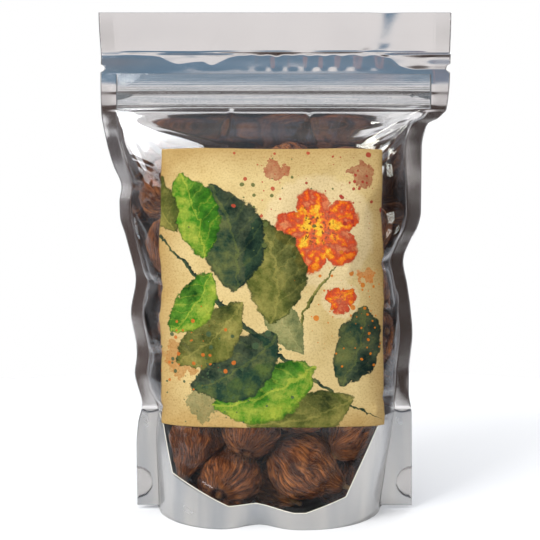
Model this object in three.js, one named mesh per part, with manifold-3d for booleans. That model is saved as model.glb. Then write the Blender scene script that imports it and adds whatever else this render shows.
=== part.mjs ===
// A stand-up food pouch, standing full of whole dried figs. It is made of three webs of film (a clear front,
// a silver back and a silver bottom gusset), a press-to-close zipper, a paper label and loose figs.
// Millimetres, +Z up, the front faces -Y. The two big webs meet on the plane y = 0 along their side seals,
// and the origin is under the middle of the box around the whole pouch, on the surface that it stands on.
import * as THREE from "three";
import { mergeVertices } from "three/addons/utils/BufferGeometryUtils.js";
import Module from "manifold-3d";

const wasm = await Module();
wasm.setup();

// Driving dimensions
const HEIGHT = 282; // standing height of the filled pouch
const FILM = 0.4; // film thickness as drawn
const GAP = 0.3; // clear space between pieces that touch on the real pouch
const SEAL_GAP = 0.5; // the same between the gusset and the webs that it is sealed to
const LABEL = { left: -62.5, right: 59.5, bottom: 52, top: 203, thickness: 0.3 };
const LEG_LIFT = 2; // how far the side seals' lower ends stay off the ground
const GUSSET_HEIGHT = 57; // how far the gusset's folded ends reach up the side seals
const PUNCH = { radius: 8.9, z: 15.6 }; // half-round punch in each end of the gusset
const NOTCH = { radius: 2.2, z: 250 }; // tear notch in each side seal
const ZIP = { z: 237, x: 84 }; // height of the closed profiles, and half their length

// Outlines along the height, as [z, value] pairs
const LEFT_EDGE = curve([[0, -78.4], [37, -78.8], [49, -77.8], [59, -75.8], [77, -79.8], [88, -78.7], [112, -82],
  [131, -79.2], [140, -80.9], [155, -84.7], [167, -88], [175, -88.2], [183, -87], [196, -92], [206, -95.1],
  [215, -96.8], [224, -98], [251, -98.5], [HEIGHT, -100]]);
const RIGHT_EDGE = curve([[0, 78], [54, 77.8], [66, 76.2], [77, 76.4], [100, 78.4], [115, 77.2], [128, 75.3],
  [141, 73], [151, 76.4], [160, 80.9], [169, 82.9], [206, 83.2], [215, 84.9], [219, 87.2], [222, 92.9],
  [227, 96.8], [251, 99], [HEIGHT, 100]]);
const LEFT_FLANGE = curve([[0, 12.6], [50, 11], [70, 7.5], [180, 6.5], [200, 8], [HEIGHT, 8.5]]);
const RIGHT_FLANGE = curve([[0, 18.5], [20, 16], [50, 11], [75, 8], [130, 7.5], [180, 9], [205, 10.5], [226, 9.5],
  [HEIGHT, 10]]);
const DEPTH = curve([[0, 43], [40, 44], [90, 44.5], [130, 42.5], [160, 37.5], [185, 30], [205, 19.5], [216, 9.5],
  [223, 4], [227, 3], [246, 3], [251, 1.6], [257, 0], [HEIGHT, 0]]);
const SQUARENESS = curve([[0, 3.2], [30, 2.6], [100, 2.3], [190, 2.3], [212, 3.5], [226, 24], [HEIGHT, 24]]);
const FLANGE_BEND = curve([[0, 0], [GUSSET_HEIGHT, 0], [80, 3.2], [130, 1.6], [165, 3.6], [205, 2.4], [222, 0.4],
  [HEIGHT, 0]]);
const ROUNDING = curve([[0, 0.68], [40, 0.55], [HEIGHT, 0.55]]);

// The top edge of the bottom seal from left to right, as [x, z] pairs
const SEAL_TOP = curve([[-66, GUSSET_HEIGHT], [-63, 52], [-58, 28], [-50, 21], [-39, 17], [-24, 12], [-9, 12.5],
  [8, 9], [22, 11], [36, 16], [40, 24], [44, 33], [49, 45], [54, 53], [60, GUSSET_HEIGHT]]);

// The hollow that the contents press into the bottom edge of each web: where, how deep and how wide
const HOLLOWS = { front: { x: -9, share: 0.27, width: 12 }, back: { x: 14, share: 0.16, width: 15 } };
const HOLLOW_TOP = 46;

// Heights of the rows of facets, and the columns between a seam and the label's edge as shares of that way
const ROWS = [0, 4, 9, 16, 26, 38, LABEL.bottom, 57.5, 60.5, 75, 93, 112, 131, 149, 165, 178, 190, LABEL.top, 209,
  215, 219, 223, 227, 244.5, 250, 257, HEIGHT];
const SEAM_STEPS = [0.05, 0.2, 0.52];
const SEAM_COLUMNS = 3.4; // least width for those columns, where the seam comes close to the line of the label's edge
const LABEL_COLUMNS = 12;

// A smooth curve through [position, value] pairs that never swings past them
function curve(points) {
  const slopes = points.map((p, i) => {
    if (i === 0 || i === points.length - 1) return 0;
    const [before, after] = [[points[i - 1], p], [p, points[i + 1]]].map(([a, b]) => (b[1] - a[1]) / (b[0] - a[0]));
    return before * after > 0 ? (2 * before * after) / (before + after) : 0;
  });
  return (at) => {
    const last = points.length - 2;
    let i = 0;
    while (i < last && at > points[i + 1][0]) i += 1;
    const [x0, y0] = points[i];
    const [x1, y1] = points[i + 1];
    const h = x1 - x0;
    const t = THREE.MathUtils.clamp((at - x0) / h, 0, 1);
    const t2 = t * t;
    const t3 = t2 * t;
    return (2 * t3 - 3 * t2 + 1) * y0 + (t3 - 2 * t2 + t) * h * slopes[i]
      + (3 * t2 - 2 * t3) * y1 + (t3 - t2) * h * slopes[i + 1];
  };
}

// Where the side seals end and the bulging part of the webs begins, at one height
const leftSeam = (z) => LEFT_EDGE(z) + LEFT_FLANGE(z);
const rightSeam = (z) => RIGHT_EDGE(z) - RIGHT_FLANGE(z);

// How far a web stands out from its side seals at (x, z)
function bulge(x, z, web) {
  const left = leftSeam(z);
  const right = rightSeam(z);
  if (x <= left || x >= right) return 0;
  const across = Math.abs((2 * x - left - right) / (right - left));
  const hollow = HOLLOWS[web];
  const low = Math.max(0, 1 - z / HOLLOW_TOP) ** 2;
  const dent = 1 - hollow.share * low * Math.exp(-(((x - hollow.x) / hollow.width) ** 2));
  return DEPTH(z) * dent * (1 - across ** SQUARENESS(z)) ** ROUNDING(z);
}

// Half the space that the side seals leave between the webs, which is wider where the gusset's ends lie in them
function halfSpace(z) {
  const folded = SEAL_GAP + FILM + GAP / 2;
  return THREE.MathUtils.mapLinear(THREE.MathUtils.clamp(z, 57.5, 60.5), 57.5, 60.5, folded, GAP / 2);
}

// The side seals bend a little to the back where the pouch is full
function sealBend(x, z) {
  const out = x < 0 ? (leftSeam(z) - x) / LEFT_FLANGE(z) : (x - rightSeam(z)) / RIGHT_FLANGE(z);
  return FLANGE_BEND(z) * Math.max(0, out);
}

// The middle of a web's thickness at (x, z)
function webY(x, z, web) {
  const side = web === "front" ? -1 : 1;
  return sealBend(x, z) + side * (FILM / 2 + Math.max(halfSpace(z), GAP / 2 + bulge(x, z, web)));
}

// The x of every column of facets at one height, from the left edge to the right edge.
// They lie closer together towards the sides, where the webs curve most.
function columns(z) {
  const labelLeft = Math.max(LABEL.left, leftSeam(z) + SEAM_COLUMNS);
  const labelRight = Math.min(LABEL.right, rightSeam(z) - SEAM_COLUMNS);
  const ends = [[LEFT_EDGE(z), leftSeam(z), labelLeft], [RIGHT_EDGE(z), rightSeam(z), labelRight]];
  const [left, right] = ends.map(([edge, seam, label]) => [edge, seam,
    ...SEAM_STEPS.map((share) => seam + share * (label - seam)), label]);
  const middle = Array.from({ length: LABEL_COLUMNS - 1 }, (_, i) => {
    const even = (i + 1) / LABEL_COLUMNS;
    const share = (even + 0.5 - 0.5 * Math.cos(Math.PI * even)) / 2;
    return THREE.MathUtils.lerp(labelLeft, labelRight, share);
  });
  return [...left, ...middle, ...right.reverse()];
}

function webGrid(web) {
  return ROWS.map((row) => columns(row).map((x) => {
    const inSeal = x <= leftSeam(row) || x >= rightSeam(row);
    const z = inSeal ? Math.max(row, LEG_LIFT) : row;
    return new THREE.Vector3(x, webY(x, z, web), z);
  }));
}

// The normals of a grid of points, from the points next to each
function gridNormals(grid) {
  const pick = (j, i) => grid[THREE.MathUtils.clamp(j, 0, grid.length - 1)][THREE.MathUtils.clamp(i, 0, grid[0].length - 1)];
  return grid.map((row, j) => row.map((_, i) => {
    const along = pick(j, i + 1).clone().sub(pick(j, i - 1)).normalize();
    const up = pick(j + 1, i).clone().sub(pick(j - 1, i)).normalize();
    return along.cross(up).normalize();
  }));
}

// The same grid moved along its normals
function moved(grid, distance, flatBottom = false) {
  const normals = gridNormals(grid);
  return grid.map((row, j) => row.map((p, i) => {
    const q = p.clone().addScaledVector(normals[j][i], distance);
    if (flatBottom && j === 0) q.z = p.z;
    return q;
  }));
}

// A closed sheet of even thickness about a grid of points
function sheet(grid, thickness, flatEnds = []) {
  const faces = [moved(grid, thickness / 2), moved(grid, -thickness / 2)];
  for (const j of flatEnds) for (const face of faces) face[j].forEach((p, i) => { p.z = grid[j][i].z; });
  const [rows, cols] = [grid.length, grid[0].length];
  const positions = faces.flat(2).flatMap((p) => [p.x, p.y, p.z]);
  const at = (side, j, i) => side * rows * cols + j * cols + i;
  const index = [];
  const quad = (a, b, c, d) => index.push(a, b, c, a, c, d);
  for (let j = 0; j < rows - 1; j += 1) for (let i = 0; i < cols - 1; i += 1) {
    quad(at(0, j, i), at(0, j, i + 1), at(0, j + 1, i + 1), at(0, j + 1, i));
    quad(at(1, j, i), at(1, j + 1, i), at(1, j + 1, i + 1), at(1, j, i + 1));
  }
  for (let i = 0; i < cols - 1; i += 1) {
    quad(at(0, 0, i), at(1, 0, i), at(1, 0, i + 1), at(0, 0, i + 1));
    quad(at(0, rows - 1, i), at(0, rows - 1, i + 1), at(1, rows - 1, i + 1), at(1, rows - 1, i));
  }
  for (let j = 0; j < rows - 1; j += 1) {
    quad(at(0, j, 0), at(0, j + 1, 0), at(1, j + 1, 0), at(1, j, 0));
    quad(at(0, j, cols - 1), at(1, j, cols - 1), at(1, j + 1, cols - 1), at(0, j + 1, cols - 1));
  }
  return new THREE.BufferGeometry()
    .setAttribute("position", new THREE.Float32BufferAttribute(positions, 3))
    .setIndex(index);
}

// A three.js geometry as a solid that can be cut and joined, and back
function solid(geometry) {
  const plain = new THREE.BufferGeometry().setAttribute("position", geometry.getAttribute("position"));
  if (geometry.index) plain.setIndex(geometry.index);
  const merged = mergeVertices(plain, 1e-4);
  return new wasm.Manifold(new wasm.Mesh({
    numProp: 3,
    vertProperties: new Float32Array(merged.getAttribute("position").array),
    triVerts: new Uint32Array(merged.index.array),
  }));
}

function geometryOf(manifold) {
  const mesh = manifold.getMesh();
  return new THREE.BufferGeometry()
    .setAttribute("position", new THREE.Float32BufferAttribute(mesh.vertProperties, 3))
    .setIndex(new THREE.BufferAttribute(mesh.triVerts, 1));
}

// A round cutter along Y
function cutter(radius, x, z) {
  return solid(new THREE.CylinderGeometry(radius, radius, 20, 16).translate(x, 0, z));
}

// The two big webs, with a tear notch in each side seal
function web(name) {
  const geometry = sheet(webGrid(name), FILM, [0, ROWS.length - 1]);
  const notches = [LEFT_EDGE, RIGHT_EDGE].map((edge) => cutter(NOTCH.radius, edge(NOTCH.z), NOTCH.z));
  return geometryOf(notches.reduce((whole, notch) => whole.subtract(notch), solid(geometry)));
}

// The gusset: where a point lies across the pouch, from -1 at the left seam to 1 at the right one
function across(x) {
  const [left, right] = [leftSeam(0), rightSeam(0)];
  return (2 * x - left - right) / (right - left);
}

// The floor along the middle of the gusset, and how it rises from there to the seal, with u from 0 to 1
const floorMiddle = (s) => FILM / 2 + (GUSSET_HEIGHT - FILM / 2) * Math.max(0, (Math.abs(s) - 0.55) / 0.45) ** 3;
const floorRise = (u) => Math.max(0, (u - 0.4) / 0.6) ** 2.2;
const SKIRT_CELLS = 5;
const FLOOR_CELLS = 5;

// One section of the gusset from the front's bottom edge, up its seal, over the floor and down the back's seal
function gussetGrid() {
  const levels = columns(0).slice(1, -1).map((x) => {
    const s = THREE.MathUtils.clamp(across(x), -1, 1);
    return { top: SEAL_TOP(x), middle: Math.min(SEAL_TOP(x), floorMiddle(s)) };
  });
  const skirt = (name) => {
    const rows = Array.from({ length: SKIRT_CELLS + 1 }, (_, k) => levels.map(({ top }, i) => {
      const low = i === 0 || i === levels.length - 1 ? LEG_LIFT : 0;
      const z = low + ((top - low) * k) / SKIRT_CELLS;
      const x = columns(z)[i + 1];
      return new THREE.Vector3(x, webY(x, z, name), z);
    }));
    return moved(rows, name === "front" ? -(FILM + SEAL_GAP) : FILM + SEAL_GAP, true);
  };
  const [front, back] = [skirt("front"), skirt("back")];
  const floor = [];
  for (let k = 1; k < 2 * FLOOR_CELLS; k += 1) {
    const share = 0.5 - 0.5 * Math.cos((Math.PI * k) / (2 * FLOOR_CELLS));
    floor.push(levels.map(({ top, middle }, i) => {
      const p = front[SKIRT_CELLS][i].clone().lerp(back[SKIRT_CELLS][i], share);
      p.z = middle + (top - middle) * floorRise(Math.abs(2 * share - 1));
      return p;
    }));
  }
  return [...front, ...floor, ...back.reverse()];
}

// A folded end of the gusset inside a side seal, with its half-round punch
function gussetEnd(edge, seam) {
  const outline = new THREE.Shape();
  const levels = [LEG_LIFT, 20, 37, 49, GUSSET_HEIGHT];
  outline.moveTo(seam(LEG_LIFT), LEG_LIFT);
  levels.forEach((z) => outline.lineTo(edge(z), z));
  levels.slice(1).reverse().forEach((z) => outline.lineTo(seam(z), z));
  const thickness = 2 * FILM + GAP;
  const slab = new THREE.ExtrudeGeometry(outline, { depth: thickness, bevelEnabled: false })
    .translate(0, 0, -thickness / 2).rotateX(Math.PI / 2);
  return solid(slab).subtract(cutter(PUNCH.radius, edge(PUNCH.z), PUNCH.z));
}

function gusset() {
  const boat = solid(sheet(gussetGrid(), FILM, [0, 2 * (SKIRT_CELLS + FLOOR_CELLS)]));
  const inset = 1.6; // how far each end reaches into the boat to join it
  const ends = [[LEFT_EDGE, (z) => leftSeam(z) + inset], [RIGHT_EDGE, (z) => rightSeam(z) - inset]];
  return geometryOf(ends.reduce((whole, [edge, seam]) => whole.add(gussetEnd(edge, seam)), boat));
}

// The zipper's two profiles, as [y, z] outlines about the line where they close
const MALE = [[-2.2, -9], [-1.7, -9], [-1.7, -0.6], [-0.2, -0.6], [-0.2, -1.1], [0.5, -0.3], [0.5, 0.3], [-0.2, 1.1],
  [-0.2, 0.6], [-1.7, 0.6], [-1.7, 7], [-2.2, 7]];
const JAW = [[1.7, 2.3], [-0.9, 2.3], [-0.9, 0.9], [-0.55, 0.9], [-0.55, 1.5], [1.7, 1.5]];
const FEMALE = [[2.2, -9], [2.2, 7], [1.7, 7], ...JAW, ...JAW.map(([y, z]) => [y, -z]).reverse(), [1.7, -9]];

function zipProfile(points) {
  const outline = new THREE.Shape(points.map(([y, z]) => new THREE.Vector2(y, z)));
  return new THREE.ExtrudeGeometry(outline, { depth: 2 * ZIP.x, bevelEnabled: false })
    .applyMatrix4(new THREE.Matrix4().makeBasis(new THREE.Vector3(0, 1, 0), new THREE.Vector3(0, 0, 1),
      new THREE.Vector3(1, 0, 0)))
    .translate(-ZIP.x, 0, ZIP.z);
}

// The label, on the facets of the front that lie under it
function label() {
  const out = moved(webGrid("front"), FILM / 2 + GAP + LABEL.thickness / 2);
  const left = 2 + SEAM_STEPS.length;
  const rows = out.slice(ROWS.indexOf(LABEL.bottom), ROWS.indexOf(LABEL.top) + 1);
  return sheet(rows.map((row) => row.slice(left, left + LABEL_COLUMNS + 1)), LABEL.thickness);
}

// The figs. Those that show beside the label have places of their own
// as [x, y, z, radius, stem direction]. The rest settle between them under their own weight.
const SHOWN_FIGS = [
  [-43, -18, 43, 15, [-0.35, -0.25, -0.9]],
  [-25, -24, 23, 16.5, [0.3, 0.85, 0.35]],
  [-13, -25, 51, 16, [0.15, 0.6, 0.8]],
  [14, -24, 31, 18, [0.82, -0.1, -0.42]],
  [41, -17, 48, 15.5, [-0.55, -0.45, -0.65]],
  [0, -6, 15.5, 13.5, [0.55, -0.75, -0.3]],
  [57, -4, 128, 15, [-0.4, 0.5, 0.75]],
  [58, -4, 99, 15, [-0.5, 0.8, -0.3]],
  [8, -5, 190, 16.5, [-0.6, 0.7, 0.3]],
];
const FIG_COUNT = 53;
const FIG_RADIUS = [15.6, 18.8];
const SETTLE_STEPS = 1000;
const SOFTNESS = 0.93; // how near two figs come, as a share of their radii
const WALL_CLEARANCE = 1.5;
const SEAM_WEDGE = 3; // width of the narrow wedge beside each side seal that no fig gets into
const GOLDEN_ANGLE = Math.PI * (3 - Math.sqrt(5));

function seededRandom(seed) {
  let state = seed;
  return () => {
    state = (state * 1664525 + 1013904223) % 4294967296;
    return state / 4294967296;
  };
}

// Looks up a value that is drawn straight from each of the places to the next
function along(places, at, value) {
  let i = 0;
  while (i < places.length - 2 && at > places[i + 1]) i += 1;
  const t = THREE.MathUtils.clamp((at - places[i]) / (places[i + 1] - places[i]), -0.5, 1.5);
  return THREE.MathUtils.lerp(value(i), value(i + 1), t);
}

// The same surfaces as the facets of the webs and of the gusset's floor, as heights over a plane
const WEB_GRIDS = { front: webGrid("front"), back: webGrid("back") };
const ROW_COLUMNS = ROWS.map(columns);
const GUSSET_GRID = gussetGrid();
const GUSSET_COLUMNS = GUSSET_GRID[SKIRT_CELLS].map((p) => p.x);
const FLOOR_LINES = GUSSET_COLUMNS.map((_, i) => GUSSET_GRID.slice(SKIRT_CELLS, -SKIRT_CELLS).map((row) => row[i]));
const facetY = (x, z, name) => along(ROWS, z, (j) => along(ROW_COLUMNS[j], x, (i) => WEB_GRIDS[name][j][i].y));
const facetFloor = (x, y) => along(GUSSET_COLUMNS, x, (i) =>
  along(FLOOR_LINES[i].map((p) => p.y), y, (k) => FLOOR_LINES[i][k].z));

// The clear distance from a point to the nearest wall of the pouch's inside
function room(p) {
  const lean = (f) => Math.hypot(1, (f(1, 0) - f(-1, 0)) / 2, (f(0, 1) - f(0, -1)) / 2);
  const front = (dx, dz) => facetY(p.x + dx, p.z + dz, "front");
  const back = (dx, dz) => facetY(p.x + dx, p.z + dz, "back");
  const floor = (dx, dy) => facetFloor(p.x + dx, p.y + dy);
  const walls = [(p.y - front(0, 0)) / lean(front), (back(0, 0) - p.y) / lean(back),
    p.x - leftSeam(p.z) - SEAM_WEDGE, rightSeam(p.z) - SEAM_WEDGE - p.x];
  if (p.z < GUSSET_HEIGHT + 25) walls.push((p.z - floor(0, 0)) / lean(floor));
  return Math.min(...walls) - FILM / 2;
}

// Loose figs settle into the pouch: each is pulled down, and pushed off its neighbours and the walls
function settledFigs() {
  const random = seededRandom(7);
  const figs = SHOWN_FIGS.map(([x, y, z, radius, stem]) => ({
    centre: new THREE.Vector3(x, y, z), radius, stem: new THREE.Vector3(...stem).normalize(), held: true,
  }));
  while (figs.length < FIG_COUNT) {
    const i = figs.length;
    const up = 2 * ((i * 0.618034) % 1) - 1;
    const flat = Math.sqrt(1 - up * up);
    figs.push({
      centre: new THREE.Vector3(90 * (random() - 0.5), 30 * (random() - 0.5), 30 + (160 * (i - 5)) / FIG_COUNT),
      radius: THREE.MathUtils.lerp(FIG_RADIUS[0], FIG_RADIUS[1], random()),
      stem: new THREE.Vector3(flat * Math.cos(i * GOLDEN_ANGLE), flat * Math.sin(i * GOLDEN_ANGLE), up),
      held: false,
    });
  }
  const away = new THREE.Vector3();
  for (let step = 0; step < SETTLE_STEPS; step += 1) {
    const weight = 0.25 * (1 - step / SETTLE_STEPS);
    for (const fig of figs) if (!fig.held) fig.centre.z -= weight;
    figs.forEach((a, i) => figs.slice(i + 1).forEach((b) => {
      away.copy(b.centre).sub(a.centre);
      const near = SOFTNESS * (a.radius + b.radius) - away.length();
      if (near <= 0 || (a.held && b.held)) return;
      away.setLength(near * (a.held || b.held ? 0.8 : 0.4));
      if (!a.held) a.centre.sub(away);
      if (!b.held) b.centre.add(away);
    }));
    for (const fig of figs) {
      const tight = SOFTNESS * fig.radius + WALL_CLEARANCE - room(fig.centre);
      if (fig.held || tight <= 0) continue;
      const probe = 0.5;
      const uphill = new THREE.Vector3(...["x", "y", "z"].map((axis) => {
        const [more, less] = [1, -1].map((sign) => {
          const q = fig.centre.clone();
          q[axis] += sign * probe;
          return room(q);
        });
        return more - less;
      }));
      fig.centre.addScaledVector(uphill.normalize(), Math.min(3, tight));
    }
  }
  return figs;
}

const FIG_SIDES = 10;
const FIG_RINGS = [0.17, 0.42, 0.85, 1.3, 1.75, 2.2, 2.7]; // angles from the stem

// How far the skin of an unpressed fig lies from its middle: a squat round body with a neck
function figReach(fig, direction) {
  const angle = Math.acos(THREE.MathUtils.clamp(direction.dot(fig.stem), -1, 1));
  const body = 1 / Math.hypot(Math.cos(angle) / (fig.radius * 1.02), Math.sin(angle) / (fig.radius * 1.12));
  return body + 0.5 * fig.radius * Math.exp(-((angle / 0.36) ** 2));
}

// A fig, pressed flat where it meets its neighbours and the film
function figGeometry(fig, figs) {
  const side = new THREE.Vector3(0, 0, 1).cross(fig.stem).normalize();
  const other = fig.stem.clone().cross(side);
  const presses = figs.filter((b) => b !== fig && b.centre.distanceTo(fig.centre) < 60).map((b) => {
    const normal = b.centre.clone().sub(fig.centre);
    const distance = normal.length();
    const share = (distance ** 2 + fig.radius ** 2 - b.radius ** 2) / (2 * distance);
    return { normal: normal.normalize(), reach: share - GAP / 2 };
  });
  const point = (polar, turn) => {
    const direction = fig.stem.clone().multiplyScalar(Math.cos(polar))
      .addScaledVector(side, Math.sin(polar) * Math.cos(turn))
      .addScaledVector(other, Math.sin(polar) * Math.sin(turn));
    let reach = figReach(fig, direction);
    for (const press of presses) {
      const towards = press.normal.dot(direction);
      if (towards > 0) reach = Math.min(reach, press.reach / towards);
    }
    const at = (r) => fig.centre.clone().addScaledVector(direction, r);
    for (let low = 0, high = reach, k = 0; k < 14 && room(at(reach)) < WALL_CLEARANCE; k += 1) {
      const middle = (low + high) / 2;
      if (room(at(middle)) < WALL_CLEARANCE) high = middle;
      else low = middle;
      reach = k === 13 ? low : reach;
    }
    return at(reach);
  };
  const rings = FIG_RINGS.map((polar, k) => Array.from({ length: FIG_SIDES }, (_, i) =>
    point(polar, (2 * Math.PI * (i + (k % 2) / 2)) / FIG_SIDES)));
  const points = [point(0, 0), ...rings.flat(), point(Math.PI, 0)];
  const index = [];
  const at = (k, i) => 1 + k * FIG_SIDES + (i % FIG_SIDES);
  for (let i = 0; i < FIG_SIDES; i += 1) {
    index.push(0, at(0, i), at(0, i + 1));
    index.push(points.length - 1, at(FIG_RINGS.length - 1, i + 1), at(FIG_RINGS.length - 1, i));
    for (let k = 0; k < FIG_RINGS.length - 1; k += 1) {
      const shift = k % 2;
      index.push(at(k, i), at(k + 1, i + shift), at(k, i + 1));
      index.push(at(k, i + 1), at(k + 1, i + shift), at(k + 1, i + 1 + shift));
    }
  }
  return new THREE.BufferGeometry()
    .setAttribute("position", new THREE.Float32BufferAttribute(points.flatMap((p) => [p.x, p.y, p.z]), 3))
    .setIndex(index);
}

// Materials and the assembly
const clearFilm = new THREE.MeshStandardMaterial({ color: 0xcfd2d6, roughness: 0.08, metalness: 0, transparent: true, opacity: 0.25 });
const silverFilm = new THREE.MeshStandardMaterial({ color: 0xbfc1c4, roughness: 0.28, metalness: 1 });
const zipPlastic = new THREE.MeshStandardMaterial({ color: 0xd9dde0, roughness: 0.25, metalness: 0 });
const paper = new THREE.MeshStandardMaterial({ color: 0xd8b97a, roughness: 0.75, metalness: 0 });
const figSkin = new THREE.MeshStandardMaterial({ color: 0x74401f, roughness: 0.55, metalness: 0 });

const pouch = new THREE.Group();

function addPiece(name, geometry, material) {
  geometry.computeVertexNormals();
  const mesh = new THREE.Mesh(geometry, material);
  mesh.name = name;
  pouch.add(mesh);
}

addPiece("front_web", web("front"), clearFilm);
addPiece("back_web", web("back"), silverFilm);
addPiece("bottom_gusset", gusset(), silverFilm);
addPiece("zip_front", zipProfile(MALE), zipPlastic);
addPiece("zip_back", zipProfile(FEMALE), zipPlastic);
addPiece("paper_label", label(), paper);
const figs = settledFigs();
figs.forEach((fig, i) => addPiece(`fig_${String(i + 1).padStart(2, "0")}`, figGeometry(fig, figs), figSkin));

// The label makes the front a little deeper than the back, so the origin goes under the middle of the box
const box = new THREE.Box3().setFromObject(pouch, true);
pouch.position.set(-(box.min.x + box.max.x) / 2, -(box.min.y + box.max.y) / 2, 0);

export default pouch;
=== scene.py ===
import math

import bpy
import numpy as np
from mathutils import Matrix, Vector
from mathutils.bvhtree import BVHTree


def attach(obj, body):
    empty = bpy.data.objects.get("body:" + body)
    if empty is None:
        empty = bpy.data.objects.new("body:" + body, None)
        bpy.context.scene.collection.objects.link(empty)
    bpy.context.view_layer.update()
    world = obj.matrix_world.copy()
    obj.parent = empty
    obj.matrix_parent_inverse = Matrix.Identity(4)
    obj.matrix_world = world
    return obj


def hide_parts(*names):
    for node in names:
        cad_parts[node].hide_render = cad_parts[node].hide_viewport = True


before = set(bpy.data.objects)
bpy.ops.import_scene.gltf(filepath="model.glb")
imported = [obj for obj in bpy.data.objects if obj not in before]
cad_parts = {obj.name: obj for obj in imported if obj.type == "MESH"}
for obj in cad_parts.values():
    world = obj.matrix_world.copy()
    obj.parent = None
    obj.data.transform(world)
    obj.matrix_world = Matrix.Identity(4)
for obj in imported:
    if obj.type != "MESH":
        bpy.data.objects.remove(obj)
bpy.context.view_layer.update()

# A stand-up pouch full of dried figs. Lengths are in millimetres and go out in metres
MM = 0.001
HEIGHT = 282.0
FILM = 0.14           # thickness of the laminate film
SEAL_GAP = 0.12       # space between two films that are sealed together
LEG_SPACE = 0.55      # half the space between the webs over the folded ends of the gusset
GUSSET_HEIGHT = 57.0
ZIP_Z = 237.0
SEED = 11


def curve(points):
    """A smooth curve through (position, value) pairs that never swings past them."""
    x, y = np.array(points, float).T
    h = np.diff(x)
    d = np.diff(y) / h
    slope = np.zeros(len(x))
    even = d[:-1] * d[1:] > 0
    slope[1:-1][even] = 2 * (d[:-1] * d[1:])[even] / (d[:-1] + d[1:])[even]

    def at(where):
        where = np.asarray(where, float)
        i = np.clip(np.searchsorted(x, where) - 1, 0, len(x) - 2)
        t = np.clip((where - x[i]) / h[i], 0, 1)
        t2, t3 = t * t, t * t * t
        return ((2 * t3 - 3 * t2 + 1) * y[i] + (t3 - 2 * t2 + t) * h[i] * slope[i]
                + (3 * t2 - 2 * t3) * y[i + 1] + (t3 - t2) * h[i] * slope[i + 1])
    return at


# The pouch's edges, seams and bulge along its height, as (z, value) pairs
LEFT_EDGE = curve([
    (0, -78.4), (37, -78.8), (49, -77.8), (59, -75.8), (77, -79.8), (88, -78.7), (112, -82), (131, -79.2),
    (140, -80.9), (155, -84.7), (167, -88), (175, -88.2), (183, -87), (196, -92), (206, -95.1),
    (215, -96.8), (224, -98), (251, -98.5), (HEIGHT, -100)])
RIGHT_EDGE = curve([
    (0, 78), (54, 77.8), (66, 76.2), (77, 76.4), (100, 78.4), (115, 77.2), (128, 75.3), (141, 73),
    (151, 76.4), (160, 80.9), (169, 82.9), (206, 83.2), (215, 84.9), (219, 87.2), (222, 92.9), (227, 96.8),
    (251, 99), (HEIGHT, 100)])
LEFT_FLANGE = curve([(0, 12.6), (50, 11), (70, 7.5), (180, 6.5), (200, 8), (HEIGHT, 8.5)])
RIGHT_FLANGE = curve([
    (0, 18.5), (20, 16), (50, 11), (75, 8), (130, 7.5), (180, 9), (205, 10.5), (226, 9.5), (HEIGHT, 10)])
DEPTH = curve([
    (0, 43), (40, 44), (90, 44.5), (130, 42.5), (160, 37.5), (185, 30), (205, 19.5), (216, 9.5), (223, 4),
    (227, 2.6), (246, 2.2), (251, 1.4), (257, 0), (HEIGHT, 0)])
SQUARENESS = curve([(0, 3.2), (30, 2.6), (100, 2.3), (190, 2.3), (212, 3.5), (226, 5), (HEIGHT, 5)])
ROUNDING = curve([(0, 0.68), (40, 0.55), (222, 0.55), (229, 1.3), (HEIGHT, 1.3)])
FLANGE_BEND = curve([
    (0, 0), (GUSSET_HEIGHT, 0), (80, 3.2), (130, 1.6), (165, 3.6), (205, 2.4), (222, 0.4), (HEIGHT, 0)])
# x and z of the corners of the line where the gusset's seal ends
SEAL_CORNERS = [
    (-64.5, GUSSET_HEIGHT), (-61.2, 51), (-55.5, 26.5), (-24.5, 12.2), (-10, 13), (9.5, 9), (16, 9),
    (37.5, 16), (55.5, 52), (58.5, GUSSET_HEIGHT)]
HOLLOWS = {"front": (-9, 0.27, 12), "back": (14, 0.16, 15)}   # x, share of the depth, width
HOLLOW_TOP = 46.0
LEG_LIFT = 2.0
LABEL = {"left": -62.5, "right": 59.5, "bottom": 52.0, "top": 203.0}
NOTCH_Z, NOTCH_RADIUS = 250.0, 2.2
PUNCH_Z, PUNCH_RADIUS = 15.6, 8.9
SIDE = {"front": -1.0, "back": 1.0}


def seal_top(x):
    """Height of the straight runs where the gusset's seal ends."""
    return np.interp(x, *np.array(SEAL_CORNERS).T)


def smooth(t):
    t = np.clip(t, 0, 1)
    return t * t * (3 - 2 * t)


def rise(value, start, width):
    """From 0 at start to 1 a width further up, or further down where the width is negative."""
    return smooth((value - start) / width)


def hump(value, middle, width):
    """1 in the middle, falling smoothly to 0 on both sides."""
    return np.exp(-((value - middle) / width) ** 2)


def noise(p, seed=0):
    """Smooth random values from -1 to 1 at an array of points in space."""
    p = np.asarray(p, float)
    cell = np.floor(p).astype(np.int64)
    f = smooth(p - cell)
    total = np.zeros(p.shape[:-1])
    for corner in range(8):
        bit = np.array([corner & 1, corner >> 1 & 1, corner >> 2 & 1])
        a, b, c = np.moveaxis(cell + bit, -1, 0)
        n = a * 73856093 ^ b * 19349663 ^ c * 83492791 ^ ((seed + SEED) * 9176 + 1013)
        n = (n ^ n >> 13) * 1274126177 & 0x7FFFFFFF
        value = (n ^ n >> 15) % 65536 / 32767.5 - 1
        total += value * np.prod(np.where(bit, f, 1 - f), axis=-1)
    return total


def stacked(*axes):
    """Points from their coordinates, each given as an array or a number."""
    return np.stack(np.broadcast_arrays(*axes), axis=-1)


def noise_xz(x, z, dx, dz, seed):
    """The same noise over a surface, with patches of about dx by dz millimetres."""
    return noise(stacked(x / dx, z / dz, 0.5 + 0 * x), seed)


def noise_x(x, dx, seed):
    """The same noise along x only."""
    return noise_xz(x, 0 * x, dx, 1, seed)


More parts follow.
